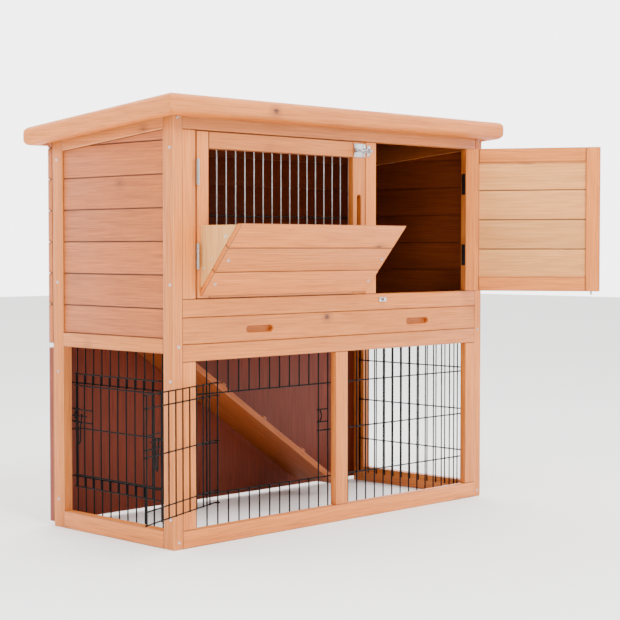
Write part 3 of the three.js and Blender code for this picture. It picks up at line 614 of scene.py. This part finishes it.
class HUTCH_OT_walls(bpy.types.Operator):
    """Boarded side and rear walls, and the plain lower rear panel"""

    bl_idname = "hutch.walls"
    bl_label = "Walls"

    def execute(self, context):
        for node, name, grain, inward, amount in (
            ("side_left_cladding", "side_left_boards", "Y", (1, 0, 0), 0.86),
            ("side_right_cladding", "side_right_boards", "Y", (-1, 0, 0), 0.86),
            ("rear_upper_boards", "rear_boards", "X", (0, -1, 0), 1.0),
        ):
            low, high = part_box(node)
            bm = start()
            cuts = [slope_cut((0, low[1], high[2]))]
            boarded(bm, low, high, wall_lines(low[2], high[2]), sizes().board_ease, cuts)
            # painted shade on the inner faces of the walls
            paint_inner_shade(bm, inward, amount)
            finish_piece(bm, name, boards(grain), "frame", node)
        low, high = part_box("rear_lower_panel")
        bm = start()
        # painted highlight on its arrises, then painted shade on its inner face
        block(bm, low, high, sizes().arris, 0.6)
        paint_inner_shade(bm, (0, -1, 0), 0.5)
        finish_piece(bm, "rear_lower_board", plywood("Z"), "frame", "rear_lower_panel")
        return {"FINISHED"}


# ---------------------------------------------------------------- floor and ramp

RAMP_ANGLE = math.radians(34.16)
RAMP_T = 11.4
CLEAT_PITCH = 112
CLEAT_FIRST = 38
CLEAT_MARGIN = 40
CLEAT_SHORT = 0.004
CLEAT_W, CLEAT_H = 0.0105, 0.006


class HUTCH_OT_floor_ramp(bpy.types.Operator):
    """Upper floor, and the ramp with its nailed foot strips"""

    bl_idname = "hutch.floor_ramp"
    bl_label = "Floor and ramp"

    def execute(self, context):
        dress("upper_floor", plywood("X"))
        low, high = map(Vector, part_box("ramp"))
        run = high.x - low.x
        half = (high.y - low.y) / 2
        along = Vector((math.cos(RAMP_ANGLE), 0, -math.sin(RAMP_ANGLE)))
        head = Vector((low.x, (low.y + high.y) / 2, high.z))
        turn = Matrix.Rotation(RAMP_ANGLE, 3, "Y")
        spare = 0.02
        bm = start()
        foot = (run / along.x + spare, half, 0)
        block(bm, (-spare, -half, -RAMP_T * MM), foot, sizes().arris * 0.6, 0.55)
        place(bm, turn, head)
        for x, sign in ((low.x, -1), (high.x, 1)):
            cut_away(bm, everything(bm), Vector((x, 0, 0)), Vector((sign, 0, 0)))
        for k in range(int((run / MM - CLEAT_MARGIN) // CLEAT_PITCH) + 1):
            distance = (CLEAT_FIRST + k * CLEAT_PITCH) * MM / along.x
            ends = half - CLEAT_SHORT
            made = block(bm, (0, -ends, -0.0005), (CLEAT_W, ends, CLEAT_H), 0.0012, Luck.tone())
            place(bm, turn, head + along * distance, list({v for f in made for v in f.verts}))
        # painted shade under the ramp and, weaker, on the faces that look to the front; the arrises keep
        # a painted highlight
        paint_inner_shade(bm, (0, 0, -1), 0.62)
        paint_inner_shade(bm, (0, -1, 0), 0.3)
        finish_piece(bm, "ramp_board", boards("X", (0, RAMP_ANGLE, 0), " ramp"), "frame", "ramp")
        return {"FINISHED"}


# ---------------------------------------------------------------- roof


EDGING_T, EDGING_H = 0.024, 0.0353


class HUTCH_OT_roof(bpy.types.Operator):
    """Felted panel and its mitred bullnose edging"""

    bl_idname = "hutch.roof"
    bl_label = "Roof"

    def execute(self, context):
        dress("roof_panel", roofing_felt())
        (x0, y0, _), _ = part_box("roof_edge_left")
        _, (x1, y1, _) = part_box("roof_edge_right")
        y0, y1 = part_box("roof_edge_front")[0][1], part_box("roof_edge_rear")[1][1]
        top = ROOF_HIGH[2] + 0.003 + PANEL_FALL * (ROOF_LOW[1] - y0)
        corner = Vector((x0, y0, 0)), Vector((x1, y0, 0)), Vector((x1, y1, 0)), Vector((x0, y1, 0))
        outward = {"front": (0, -1), "right": (1, 0), "rear": (0, 1), "left": (-1, 0)}
        for k, side in enumerate(("front", "right", "rear", "left")):
            a, b = corner[k], corner[(k + 1) % 4]
            out = Vector((*outward[side], 0))
            low = Vector((min(a.x, b.x), min(a.y, b.y), -EDGING_H))
            up = Vector((max(a.x, b.x), max(a.y, b.y), 0))
            for i in (0, 1):
                if out[i] > 0:
                    low[i] -= EDGING_T
                elif out[i] < 0:
                    up[i] += EDGING_T
            bm = start()
            scale = Matrix.Diagonal((*(up - low), 1.0))
            bmesh.ops.create_cube(bm, size=1.0, matrix=Matrix.Translation((low + up) / 2) @ scale)
            reach = max(low.dot(out), up.dot(out))
            outer = [
                e for e in bm.edges
                if all(abs(v.co.dot(out) - reach) < 1e-6 for v in e.verts)
                and abs((e.verts[1].co - e.verts[0].co).normalized().z) < 0.5
            ]
            round_off = sizes().bullnose
            bmesh.ops.bevel(
                bm, geom=outer, offset=round_off, segments=8, affect="EDGES", profile=0.5, material=-1
            )
            along = (b - a).normalized()
            for point, sign in ((a, -1), (b, 1)):
                mitre = (along * sign - out).normalized()
                cut_away(bm, everything(bm), point - along * sign * 0.0002, mitre)
            for vert in bm.verts:
                vert.co.z += top - PANEL_FALL * (vert.co.y - y0)
            tones = bm.faces.layers.float["tone"]
            tone = Luck.tone()
            for face in bm.faces:
                face[tones] = tone
            grain = "X" if side in ("front", "rear") else "Y"
            finish_piece(bm, f"roof_{side}_edging", fir(grain), "frame", f"roof_edge_{side}", smooth=40)
        # boards under the felted panel, seen from inside the upper room
        (x0, _, _), (x1, _, _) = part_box("upper_floor")
        y0, y1 = at(0, 14.5, 0).y, at(0, 354, 0).y
        under = ROOF_HIGH[2] - PANEL_FALL * (y0 - ROOF_LOW[1]) - 0.0121
        bm = start()
        block(bm, (x0, y0, -0.0015), (x1, y1, 0.0), 0.0004, 0.5)
        for vert in bm.verts:
            vert.co.z += under - PANEL_FALL * (vert.co.y - y0)
        # painted shade on the underside of the lining
        paint_inner_shade(bm, (0, 0, -1))
        finish_piece(bm, "roof_lining", boards("X"), "frame", slot="fir_boards")
        return {"FINISHED"}


# ---------------------------------------------------------------- tray


FINGER_X = 222


class HUTCH_OT_tray(bpy.types.Operator):
    """Pull-out tray: timber front with finger slots, galvanised pan"""

    bl_idname = "hutch.tray"
    bl_label = "Tray"

    def execute(self, context):
        for node, material in (("tray_front", fir("X")), ("tray_pan", galvanised())):
            dress(node, material)
        bm = start()
        for x in (WIDTH / 2 - FINGER_X, WIDTH / 2 + FINGER_X):
            block(bm, at(x - 36, 8.5, 376), at(x + 36, 13, 392), 0.0003, 0.3)
        # painted shade on the slot backs, which are seen in the finger slots
        paint_inner_shade(bm, (0, -1, 0), 0.35)
        finish_piece(bm, "tray_slot_backs", fir("X"), "tray", slot="fir")
        return {"FINISHED"}


# ---------------------------------------------------------------- doors

LEFT_X1 = 493.6
RIGHT_X0, RIGHT_X1 = 527.1, 805.6
DOOR_Z0, DOOR_Z1 = 442.9, 740.0
DOOR_STILE = 28.6
DOOR_RAIL = 29
GRILLE_PITCH = 23.1
GRILLE_FIRST = 92.2
GRILLE_BARS = 17
RIGHT_OPEN = 120
RIGHT_TURN = (0.0, 0.0, math.radians(RIGHT_OPEN))


def right_pin():
    return Vector(joint("right_door_hinge")["pos_m"])


class HUTCH_OT_left_door(bpy.types.Operator):
    """Left door: framed, with upright bars and dark cross wires"""

    bl_idname = "hutch.left_door"
    bl_label = "Left door"

    def execute(self, context):
        for member, grain in (("hinge_stile", "Z"), ("top_rail", "X"), ("bottom_rail", "X")):
            # painted shadow on the arrises, standing for the shade in the door frame's joints
            timber(f"left_door_{member}", fir(grain), "left_door", edge_light=-0.9)
        dress("left_door_latch_stile", fir("Z"))
        low, high = map(Vector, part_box("left_door_grille"))
        bm = start()
        y = low.y + 0.0012
        bars = [at(GRILLE_FIRST + k * GRILLE_PITCH, 0, 0).x for k in range(GRILLE_BARS)]
        for x in (low.x + 0.0012, *bars, high.x - 0.0012):
            rod(bm, (x, y, low.z), (x, y, high.z), sizes().bar)
        finish_piece(bm, "left_door_bars", galvanised(), "left_door", "left_door_grille")
        bm = start()
        y += 0.0018
        for z in (low.z + 0.008, (low.z + high.z) / 2 - 0.001, high.z - 0.008):
            rod(bm, (low.x, y, z), (high.x, y, z), sizes().bar)
        finish_piece(bm, "left_door_cross_wires", black_coat(), "left_door", slot="black_wire")
        return {"FINISHED"}


FEEDER_X0, FEEDER_X1 = 62.4, 492.4
FEEDER_Z0, FEEDER_Z1 = 447, 575
FEEDER_TOE = 3
FEEDER_REACH = 110
FEEDER_BOARD_T = 10
FEEDER_LEAN = math.atan((FEEDER_REACH - FEEDER_TOE) / (FEEDER_Z1 - FEEDER_Z0))
# the boards are drawn upright, their inner face in the plane Y = 0, and then leant out
FEEDER_TURN = Matrix.Rotation(FEEDER_LEAN, 3, "X")
FEEDER_FOOT = at(0, -FEEDER_TOE, FEEDER_Z0) - FEEDER_TURN @ Vector((0, -FEEDER_BOARD_T * MM, 0))


def feeder_plane(point, normal):
    """A plane given where the feeder stands, as the upright drawing has it."""
    back = FEEDER_TURN.inverted()
    return back @ (point - FEEDER_FOOT), back @ Vector(normal)


class HUTCH_OT_feeder(bpy.types.Operator):
    """Hay feeder: two cheeks and three sloping boards"""

    bl_idname = "hutch.feeder"
    bl_label = "Hay feeder"

    def execute(self, context):
        pale = wood("pale fir Z", "Z", colours().pale_light, colours().pale_dark, knots=False)
        for side in ("left", "right"):
            dress(f"feeder_{side}_cheek", pale)
        width = (FEEDER_Z1 - FEEDER_Z0) / math.cos(FEEDER_LEAN) / 3 * MM
        x0, x1 = at(FEEDER_X0, 0, 0).x, at(FEEDER_X1, 0, 0).x
        cuts = [
            feeder_plane(at(0, -0.3, FEEDER_Z0), (0, 1, 0)),
            feeder_plane(at(0, 0, FEEDER_Z0), (0, 0, -1)),
            feeder_plane(at(0, 0, FEEDER_Z1), (0, 0, 1)),
        ]
        bm = start()
        for k in range(3):
            foot = k * width + 0.0005 if k else -0.02
            head = (k + 1) * width - 0.0005 if k < 2 else 3 * width + 0.02
            low = (x0 - FEEDER_FOOT.x, -FEEDER_BOARD_T * MM, foot)
            high = (x1 - FEEDER_FOOT.x, 0, head)
            # painted shadow on the arrises, standing for the shade in the joints between the boards
            block(bm, low, high, 0.0011, Luck.tone(), cuts, edge_light=-0.75)
        place(bm, FEEDER_TURN, FEEDER_FOOT)
        finish_piece(bm, "feeder_boards", fir("X"), "left_door", "feeder_front")
        return {"FINISHED"}


class HUTCH_OT_right_door(bpy.types.Operator):
    """Right door: boarded panel in a frame, standing open"""

    bl_idname = "hutch.right_door"
    bl_label = "Right door"

    def execute(self, context):
        x0, x1 = RIGHT_X0 + DOOR_STILE, RIGHT_X1 - DOOR_STILE
        z0, z1 = DOOR_Z0 + DOOR_RAIL, DOOR_Z1 - DOOR_RAIL
        members = {
            "latch_stile": (RIGHT_X0, x0, DOOR_Z0, DOOR_Z1, "Z"),
            "hinge_stile": (x1, RIGHT_X1, DOOR_Z0, DOOR_Z1, "Z"),
            "top_rail": (x0 + 0.3, x1 - 0.3, z1, DOOR_Z1, "X"),
            "bottom_rail": (x0 + 0.3, x1 - 0.3, DOOR_Z0, z0, "X"),
        }
        for name, (a, b, c, d, grain) in members.items():
            bm = start()
            # painted shadow on the arrises, standing for the shade in the door frame's joints
            block(bm, at(a, 0, c), at(b, FRAME_T, d), sizes().arris, 0.8, edge_light=-0.6)
            swing(bm, right_pin(), RIGHT_OPEN)
            material = fir(grain, RIGHT_TURN, " right door")
            node = f"right_door_{name}"
            finish_piece(bm, f"{node}_timber", material, "right_door", node)
        low, high = at(x0 - 3, 2, z0 - 3), at(x1 + 3, 10, z1 + 3)
        step = (high.z - low.z) / 4
        bm = start()
        boarded(bm, low, high, [low.z + k * step for k in range(5)], sizes().board_ease * 0.8)
        swing(bm, right_pin(), RIGHT_OPEN)
        c = colours()
        # painted light: lighter board colours, standing for the light falling on the open door
        material = wood("lit fir door board", "X", c.lit_door_light, c.lit_door_dark, RIGHT_TURN)
        finish_piece(bm, "right_door_boards", material, "right_door", "right_door_panel")
        return {"FINISHED"}


# ---------------------------------------------------------------- hinges and bolts

HINGE_L = 46
HINGE_Z = (518, 667)
PIN_Y = -3.4
PIN_IN = 2.3
HINGE_R = 0.003
PIN_R = 0.0013
PIN_PROUD = 0.6


def knuckle_spans(z, mine):
    """Lower and upper end of every other knuckle of a hinge barrel."""
    each = HINGE_L / 5
    for k in range(0 if mine else 1, 5, 2):
        yield z - HINGE_L / 2 + k * each + 0.25, z - HINGE_L / 2 + (k + 1) * each - 0.25


def leaf(bm, pin, x0, x1, z, sign, mine):
    """A hinge leaf with its knuckles and three countersunk screws."""
    near = PIN_Y + HINGE_R / MM + 0.3
    low, high = min(x0, x1), max(x0, x1)
    plate(bm, at(low, near, z - HINGE_L / 2 + 1), at(high, 11, z + HINGE_L / 2 - 1), 0.0002)
    for a, b in knuckle_spans(z, mine):
        rod(bm, at(pin, PIN_Y, a), at(pin, PIN_Y, b), HINGE_R, 20)
        plate(bm, at(low, PIN_Y + 1, a), at(high, near + 0.3, b), 0.0002)
    for dz in (-15, 0, 15):
        screw_head(bm, at(x1 - sign * 0.45, 6.5, z + dz), (sign, 0, 0), 0.0022)


class HUTCH_OT_hinges(bpy.types.Operator):
    """Butt hinges: bright on the left door, black on the right"""

    bl_idname = "hutch.hinges"
    bl_label = "Hinges"

    def execute(self, context):
        for z, level in zip(HINGE_Z, ("lower", "upper")):
            for side, sign, steel, slot in (
                ("left", 1, zinc(), "zinc"),
                ("right", -1, black_steel(), "black_metal"),
            ):
                edge = STILE_EDGE if side == "left" else WIDTH - STILE_EDGE
                pin = edge + sign * PIN_IN
                name = f"{side}_hinge_{level}"
                reach = HINGE_L / 2 + PIN_PROUD
                bm = start()
                rod(bm, at(pin, PIN_Y, z - reach), at(pin, PIN_Y, z + reach), PIN_R, 12)
                leaf(bm, pin, edge + sign * 0.3, edge + sign * 1.1, z, sign, True)
                finish_piece(bm, f"{name}_fixed", steel, "frame", name, slot=slot)
                bm = start()
                leaf(bm, pin, edge + sign * 2.1, edge + sign * 1.4, z, -sign, False)
                if side == "right":
                    swing(bm, right_pin(), RIGHT_OPEN)
                finish_piece(bm, f"{name}_moving", steel, f"{side}_door", slot=slot)
        return {"FINISHED"}


BOLT_L = 32
BOLT_W = 26
BOLT_OFF = 5.2
BOLT_ROD = 0.0022


def bolt_body(bm):
    """Plate with two rolled saddles, drawn with the rod along +X at the origin."""
    plate(bm, Vector((0, -1.6, -BOLT_W / 2)) * MM, Vector((BOLT_L, -0.3, BOLT_W / 2)) * MM)
    for x in (2.6, BOLT_L - 2.6):
        for dx in (-1.5, 1.5):
            ring(bm, Vector((x + dx, -BOLT_OFF, 0)) * MM, 0.0034, 0.0009, "X", 20)
        plate(bm, Vector((x - 2.3, -2.8, -6)) * MM, Vector((x + 2.3, -1.5, 6)) * MM)
    for x in (5.5, BOLT_L - 5.5):
        for z in (-9.4, 9.4):
            screw_head(bm, Vector((x, -1.7, z)) * MM, (0, -1, 0), 0.0026)


def bolt_rod(bm, a, b, knob):
    rod(bm, Vector((a, -BOLT_OFF, 0)) * MM, Vector((b, -BOLT_OFF, 0)) * MM, BOLT_ROD, 20)
    rod(bm, Vector((knob, -BOLT_OFF, 0)) * MM, Vector((knob, -BOLT_OFF - 6, 0)) * MM, 0.0014, 14)
    tip = Matrix.Translation(Vector((knob, -BOLT_OFF - 6.6, 0)) * MM)
    bmesh.ops.create_uvsphere(bm, u_segments=16, v_segments=10, radius=0.0024, matrix=tip)


class HUTCH_OT_bolts(bpy.types.Operator):
    """Tower bolts on both doors, and the keepers that take their rods"""

    bl_idname = "hutch.bolts"
    bl_label = "Bolts"

    def execute(self, context):
        level = Matrix.Identity(3)
        down = Matrix.Rotation(math.pi / 2, 3, "Y")
        z = DOOR_Z1 - BOLT_W / 2 - 4
        spot = at(LEFT_X1 - BOLT_L - 1, 0, z)
        drop = at(RIGHT_X0 + 18, 0, DOOR_Z0 + BOLT_L)
        for side, turn, where, ends in (
            ("left", level, spot, (-2, BOLT_L + 0.5, 7.5)),
            ("right", down, drop, (-10, BOLT_L + 7, BOLT_L / 2)),
        ):
            for part in ("body", "rod"):
                bm = start()
                if part == "body":
                    bolt_body(bm)
                else:
                    bolt_rod(bm, *ends)
                place(bm, turn, where)
                if side == "right":
                    swing(bm, right_pin(), RIGHT_OPEN)
                body = f"{side}_door" if part == "body" else f"{side}_bolt"
                finish_piece(bm, f"{side}_bolt_{part}_zinc", zinc(), body, f"{side}_bolt_{part}")
        for name, turn, where in (
            ("mullion_keeper", level, at(497.5, 0, z)),
            ("sill_keeper", down, at(RIGHT_X0 + 18, 0, 434.8)),
        ):
            bm = start()
            plate(bm, Vector((0, -1.6, -11)) * MM, Vector((9, -0.3, 11)) * MM)
            for dx in (2.6, 4.6, 6.6):
                ring(bm, Vector((dx, -BOLT_OFF, 0)) * MM, 0.0035, 0.0010, "X", 20)
            for dz in (-8.2, 8.2):
                screw_head(bm, Vector((4.5, -1.7, dz)) * MM, (0, -1, 0), 0.0024)
            place(bm, turn, where)
            finish_piece(bm, name, zinc(), "frame", slot="zinc")
        return {"FINISHED"}


# ---------------------------------------------------------------- wire work

WIRE_IN = 1.2  # middle of a wire from the face or end of its grid
CROSS_BEHIND = 1.8  # cross wires behind the uprights
DOOR_OUT = 2.9  # uprights of a wire door before those of the grid
DOOR_CROSS_OUT = 4.7
LATCH_OUT = 6.6
HANDLE_OUT = 8.6
LATCH_RISE = 12  # keeper wires above and below the sliding wire
LATCH_BELOW = 17  # sliding wire below the middle of the top two cross wires
DOOR_LAP = 18  # a wire door above and below its doorway
CROSS_SHIFT = 4.5  # inner cross wires of a door from those of the grid
CELLS = 10
FRONT_PITCH = 26.15
SIDE_PITCH = 25.1
FRONT_LEVELS = (88.5, 179.5, 270.5)
SIDE_LEVELS = (98.0, 187.25, 276.5)
FRONT_OPEN = 158
FRONT_DRAWN = 30  # the open door's latch is drawn back
# node, axis along it, way its back looks, first upright, pitch, cross wires, upright with the hinge
GRIDS = (
    ("front_left_grid", 0, 1, 64.2, FRONT_PITCH, FRONT_LEVELS, 2),
    ("front_right_grid", 0, 1, 460.7, FRONT_PITCH, FRONT_LEVELS, None),
    ("side_left_grid", 1, 1, 31.0, SIDE_PITCH, SIDE_LEVELS, 1),
    ("side_right_grid", 1, -1, 31.0, SIDE_PITCH, SIDE_LEVELS, None),
)


def spots(origin, axis, sign=1):
    """A function for the place u along the axis, w behind the origin and z above the ground."""

    def point(u, w, z):
        place_at = Vector((origin.x, origin.y, z * MM))
        place_at[axis] += u * MM
        place_at[1 - axis] += sign * w * MM
        return place_at

    return point


def wires(bm, point, lines):
    """Straight wires, each between two (u, w, z)."""
    for a, b in lines:
        rod(bm, point(*a), point(*b), sizes().wire, 8)


def latch_height(levels):
    return (levels[1] + levels[2]) / 2 - LATCH_BELOW


def grid_wires(bm, point, end, first, pitch, heights, levels, hinge):
    """Uprights and cross wires of a grid, open where a door hangs, with a catch beside the opening."""
    bottom, top = heights
    lines = [((u, 0, bottom), (u, 0, top)) for u in (WIRE_IN, end - WIRE_IN)]
    for k in range(int((end - WIRE_IN - first) / pitch) + 1):
        u = first + k * pitch
        if hinge is not None and hinge < k < hinge + CELLS:
            lines.append(((u, 0, bottom), (u, 0, levels[0] + WIRE_IN)))
            lines.append(((u, 0, levels[2] - WIRE_IN), (u, 0, top)))
        else:
            lines.append(((u, 0, bottom), (u, 0, top)))
    runs = [(0, end, levels[0]), (0, end, levels[2])]
    if hinge is None:
        runs.append((0, end, levels[1]))
    else:
        near, far = first + hinge * pitch, first + (hinge + CELLS) * pitch
        runs += [(0, near + WIRE_IN, levels[1]), (far - WIRE_IN, end, levels[1])]
        z = latch_height(levels)
        for dz in (-LATCH_RISE, LATCH_RISE):
            runs.append((far - 1.5, far + pitch + 1.5, z + dz))
    lines += [((a, CROSS_BEHIND, z), (b, CROSS_BEHIND, z)) for a, b, z in runs]
    wires(bm, point, lines)
    if hinge is not None:
        catch = ((3.2, -LATCH_RISE), (-1.5, -3), (-1.5, 3), (3.2, LATCH_RISE))
        bent(bm, [point(far + 7, w, z + dz) for w, dz in catch], sizes().wire)


def wire_door(bm, point, pitch, levels, drawn):
    """A door's uprights, cross wires with eyes round the hinge upright, and sliding latch."""
    low, middle, high = levels
    end = CELLS * pitch
    crosses = (
        low - DOOR_LAP, low + CROSS_SHIFT, middle + CROSS_SHIFT, high - CROSS_SHIFT, high + DOOR_LAP,
    )
    lines = []
    for k in range(1, CELLS + 1):
        u = k * pitch
        lines.append(((u, -DOOR_OUT, crosses[0] - WIRE_IN), (u, -DOOR_OUT, crosses[-1] + WIRE_IN)))
    for z in crosses:
        lines.append(((2.4, -DOOR_CROSS_OUT, z), (end + WIRE_IN, -DOOR_CROSS_OUT, z)))
        lines.append(((2.4, -DOOR_CROSS_OUT, z), (3.2, -1.2, z)))
        ring(bm, point(0, 0, z), 0.0033, 0.0011, "Z", 16)
    # keeper wires above and below, the sliding wire between them, and its handle
    z = latch_height(levels)
    for dz in (-LATCH_RISE, LATCH_RISE):
        inner = end - 2 * pitch - WIRE_IN
        lines.append(((inner, -LATCH_OUT, z + dz), (end + WIRE_IN, -LATCH_OUT, z + dz)))
    free = end - drawn
    lines.append(((free - 36, -LATCH_OUT - 0.2, z), (free + 8, -LATCH_OUT - 0.2, z)))
    for du in (-9, -22):
        lines.append(((free + du, -6.0, z + 3), (free + du, -9.4, z + 3)))
    wires(bm, point, lines)
    handle = (
        (-9, 4), (-10, 0), (-12, -20), (-13, -48), (-16, -52), (-19, -48), (-20, -20), (-23, 0), (-22, 4),
    )
    bent(bm, [point(free + du, -HANDLE_OUT, z + dz) for du, dz in handle], sizes().wire)


class HUTCH_OT_grids(bpy.types.Operator):
    """Black wire grids of the run"""

    bl_idname = "hutch.grids"
    bl_label = "Wire grids"

    def execute(self, context):
        for node, axis, sign, first, pitch, levels, hinge in GRIDS:
            low, high = map(Vector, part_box(node))
            face = (low if sign > 0 else high).copy()
            face[axis] = low[axis]
            face[1 - axis] += sign * WIRE_IN * MM
            end = (high[axis] - low[axis]) / MM
            first -= (low[axis] - CORNER[axis]) / MM
            heights = (low.z / MM, high.z / MM)
            bm = start()
            grid_wires(bm, spots(face, axis, sign), end, first, pitch, heights, levels, hinge)
            finish_piece(bm, f"{node}_wire", black_coat(), "frame", node)
        return {"FINISHED"}


class HUTCH_OT_wire_doors(bpy.types.Operator):
    """Wire doors of the run with their latches"""

    bl_idname = "hutch.wire_doors"
    bl_label = "Wire doors"

    def execute(self, context):
        for side, axis, pitch, levels, drawn, opened in (
            ("front", 0, FRONT_PITCH, FRONT_LEVELS, FRONT_DRAWN, FRONT_OPEN),
            ("side", 1, SIDE_PITCH, SIDE_LEVELS, 0, 0),
        ):
            body = f"{side}_wire_door"
            pin = Vector(joint(f"{body}_hinge")["pos_m"])
            bm = start()
            wire_door(bm, spots(pin, axis), pitch, levels, drawn)
            swing(bm, pin, -opened)
            finish_piece(bm, f"{body}_wire", black_coat(), body, body)
        return {"FINISHED"}


# ---------------------------------------------------------------- screws


class HUTCH_OT_screws(bpy.types.Operator):
    """Zinc screws through the posts and the feeder"""

    bl_idname = "hutch.screws"
    bl_label = "Screws"

    def execute(self, context):
        r = sizes().screw
        bm = start()
        for x, sign in ((0, -1), (WIDTH, 1)):
            for z in (708, 468, 298, 54):
                screw_head(bm, at(x, 9, z), (sign, 0, 0), r)
            for z in (700, 468, 298, 54):
                screw_head(bm, at(x, DEPTH - 15, z), (sign, 0, 0), r)
            near = 11 if x == 0 else WIDTH - 11
            for z in (760, 359, 13):
                screw_head(bm, at(near, 0, z), (0, -1, 0), r)
            for z in (690, 400, 320, 60):
                screw_head(bm, at(near, DEPTH + 14.6, z), (0, 1, 0), r)
        finish_piece(bm, "frame_screws", zinc(), "frame", slot="zinc")
        bm = start()
        out = FEEDER_TURN @ Vector((0, -1, 0))
        for x in (FEEDER_X0 + 16, FEEDER_X1 - 12):
            for up in (28, 83):
                spot = FEEDER_FOOT + FEEDER_TURN @ Vector((0, -FEEDER_BOARD_T * MM, up * MM))
                screw_head(bm, Vector((at(x, 0, 0).x, spot.y, spot.z)), out, r)
        for y, z, size in ((-67, 553, 1.0), (-31, 513, 0.55), (-9, 497, 0.55)):
            screw_head(bm, at(FEEDER_X0, y, z), (-1, 0, 0), r * size)
        finish_piece(bm, "feeder_screws", zinc(), "left_door", slot="zinc")
        return {"FINISHED"}


# ---------------------------------------------------------------- studio


EYE = (-1753.4, -2067.9, 533.3)
YAW = 45.34
PITCH = -2.31
LENS = 89.81


class HUTCH_OT_studio(bpy.types.Operator):
    """Pale floor, soft light and the camera"""

    bl_idname = "hutch.studio"
    bl_label = "Studio"

    def execute(self, context):
        scene = context.scene
        bm = bmesh.new()
        bmesh.ops.create_grid(bm, x_segments=1, y_segments=1, size=12.0)
        mesh = bpy.data.meshes.new("studio_floor")
        bm.to_mesh(mesh)
        bm.free()
        floor = bpy.data.objects.new("studio_floor", mesh)
        floor.location.z = -0.0002
        scene.collection.objects.link(floor)
        material, tree, shader = blank("studio paper")
        coords = tree.nodes.new("ShaderNodeTexCoord").outputs["Object"]
        fleck = add(tree, "ShaderNodeTexNoise", Vector=coords, Scale=3.0, Detail=2.0)
        base = tuple(colours().floor)
        tint = ramp(tree, fleck.outputs["Fac"], [(0.0, base), (1.0, tuple(c * 0.985 for c in base))])
        tree.links.new(tint, shader.inputs["Base Color"])
        shader.inputs["Roughness"].default_value = 0.95
        mesh.materials.append(material)

        world = bpy.data.worlds.new("studio_world")
        world.use_nodes = True
        tree = world.node_tree
        background = tree.nodes["Background"]
        background.inputs["Color"].default_value = (1.0, 1.0, 1.0, 1.0)
        # brighter beyond the hutch than before its open front
        way = tree.nodes.new("ShaderNodeTexCoord").outputs["Generated"]
        facing = add(
            tree, "ShaderNodeVectorMath", {"operation": "DOT_PRODUCT"}, _0=way, _1=(0.72, 0.69, 0.0)
        )
        strength = add(
            tree, "ShaderNodeMapRange", Value=facing.outputs["Value"], _1=-0.3, _2=0.6, _3=0.5, _4=5.0
        ).outputs[0]
        tree.links.new(strength, background.inputs["Strength"])
        scene.world = world

        for name, place_at, power, size in (
            ("key_light", (-0.4, -2.6, 3.6), 260.0, 1.8),
            ("side_light", (-3.2, -0.2, 3.0), 120.0, 1.8),
            ("fill_light", (2.2, -3.0, 1.6), 25.0, 2.4),
        ):
            light = bpy.data.lights.new(name, "AREA")
            light.energy = power
            light.size = size
            lamp = bpy.data.objects.new(name, light)
            lamp.location = place_at
            aim = Vector((0, 0, 0.4)) - Vector(place_at)
            lamp.rotation_euler = aim.to_track_quat("-Z", "Y").to_euler()
            scene.collection.objects.link(lamp)

        eye = at(*EYE)
        yaw, pitch = map(math.radians, (YAW, PITCH))
        look = Vector((math.sin(yaw) * math.cos(pitch), math.cos(yaw) * math.cos(pitch), math.sin(pitch)))
        right = Vector((math.cos(yaw), -math.sin(yaw), 0))
        up = right.cross(look)
        data = bpy.data.cameras.new("camera")
        data.sensor_width = 36.0
        data.lens = LENS
        data.clip_end = 60.0
        camera = bpy.data.objects.new("camera", data)
        turn = Matrix((right, up, -look)).transposed().to_4x4()
        camera.matrix_world = Matrix.Translation(eye) @ turn
        scene.collection.objects.link(camera)
        scene.camera = camera
        return {"FINISHED"}


# ---------------------------------------------------------------- add-on

STEPS = (
    HUTCH_OT_studio, HUTCH_OT_timber_frame, HUTCH_OT_walls, HUTCH_OT_floor_ramp, HUTCH_OT_roof,
    HUTCH_OT_tray, HUTCH_OT_left_door, HUTCH_OT_feeder, HUTCH_OT_right_door, HUTCH_OT_hinges,
    HUTCH_OT_bolts, HUTCH_OT_grids, HUTCH_OT_wire_doors, HUTCH_OT_screws,
)


class HUTCH_PT_panel(bpy.types.Panel):
    """Sizes, colours and the steps that build the hutch"""

    bl_idname = "HUTCH_PT_panel"
    bl_label = "Rabbit hutch"
    bl_space_type = "VIEW_3D"
    bl_region_type = "UI"
    bl_category = "Hutch"

    def draw(self, context):
        for group in (context.scene.hutch_sizes, context.scene.hutch_colours):
            box = self.layout.box()
            for name in group.bl_rna.properties.keys():
                if name not in {"rna_type", "name"}:
                    box.prop(group, name)
        for step in STEPS:
            self.layout.operator(step.bl_idname)


CLASSES = (HutchSizes, HutchColours, *STEPS, HUTCH_PT_panel)


def register():
    for cls in CLASSES:
        bpy.utils.register_class(cls)
    bpy.types.Scene.hutch_sizes = bpy.props.PointerProperty(type=HutchSizes)
    bpy.types.Scene.hutch_colours = bpy.props.PointerProperty(type=HutchColours)


def unregister():
    del bpy.types.Scene.hutch_colours
    del bpy.types.Scene.hutch_sizes
    for cls in reversed(CLASSES):
        bpy.utils.unregister_class(cls)


def main():
    register()
    for step in STEPS:
        prefix, name = step.bl_idname.split(".")
        getattr(getattr(bpy.ops, prefix), name)()


if __name__ == "__main__":
    main()
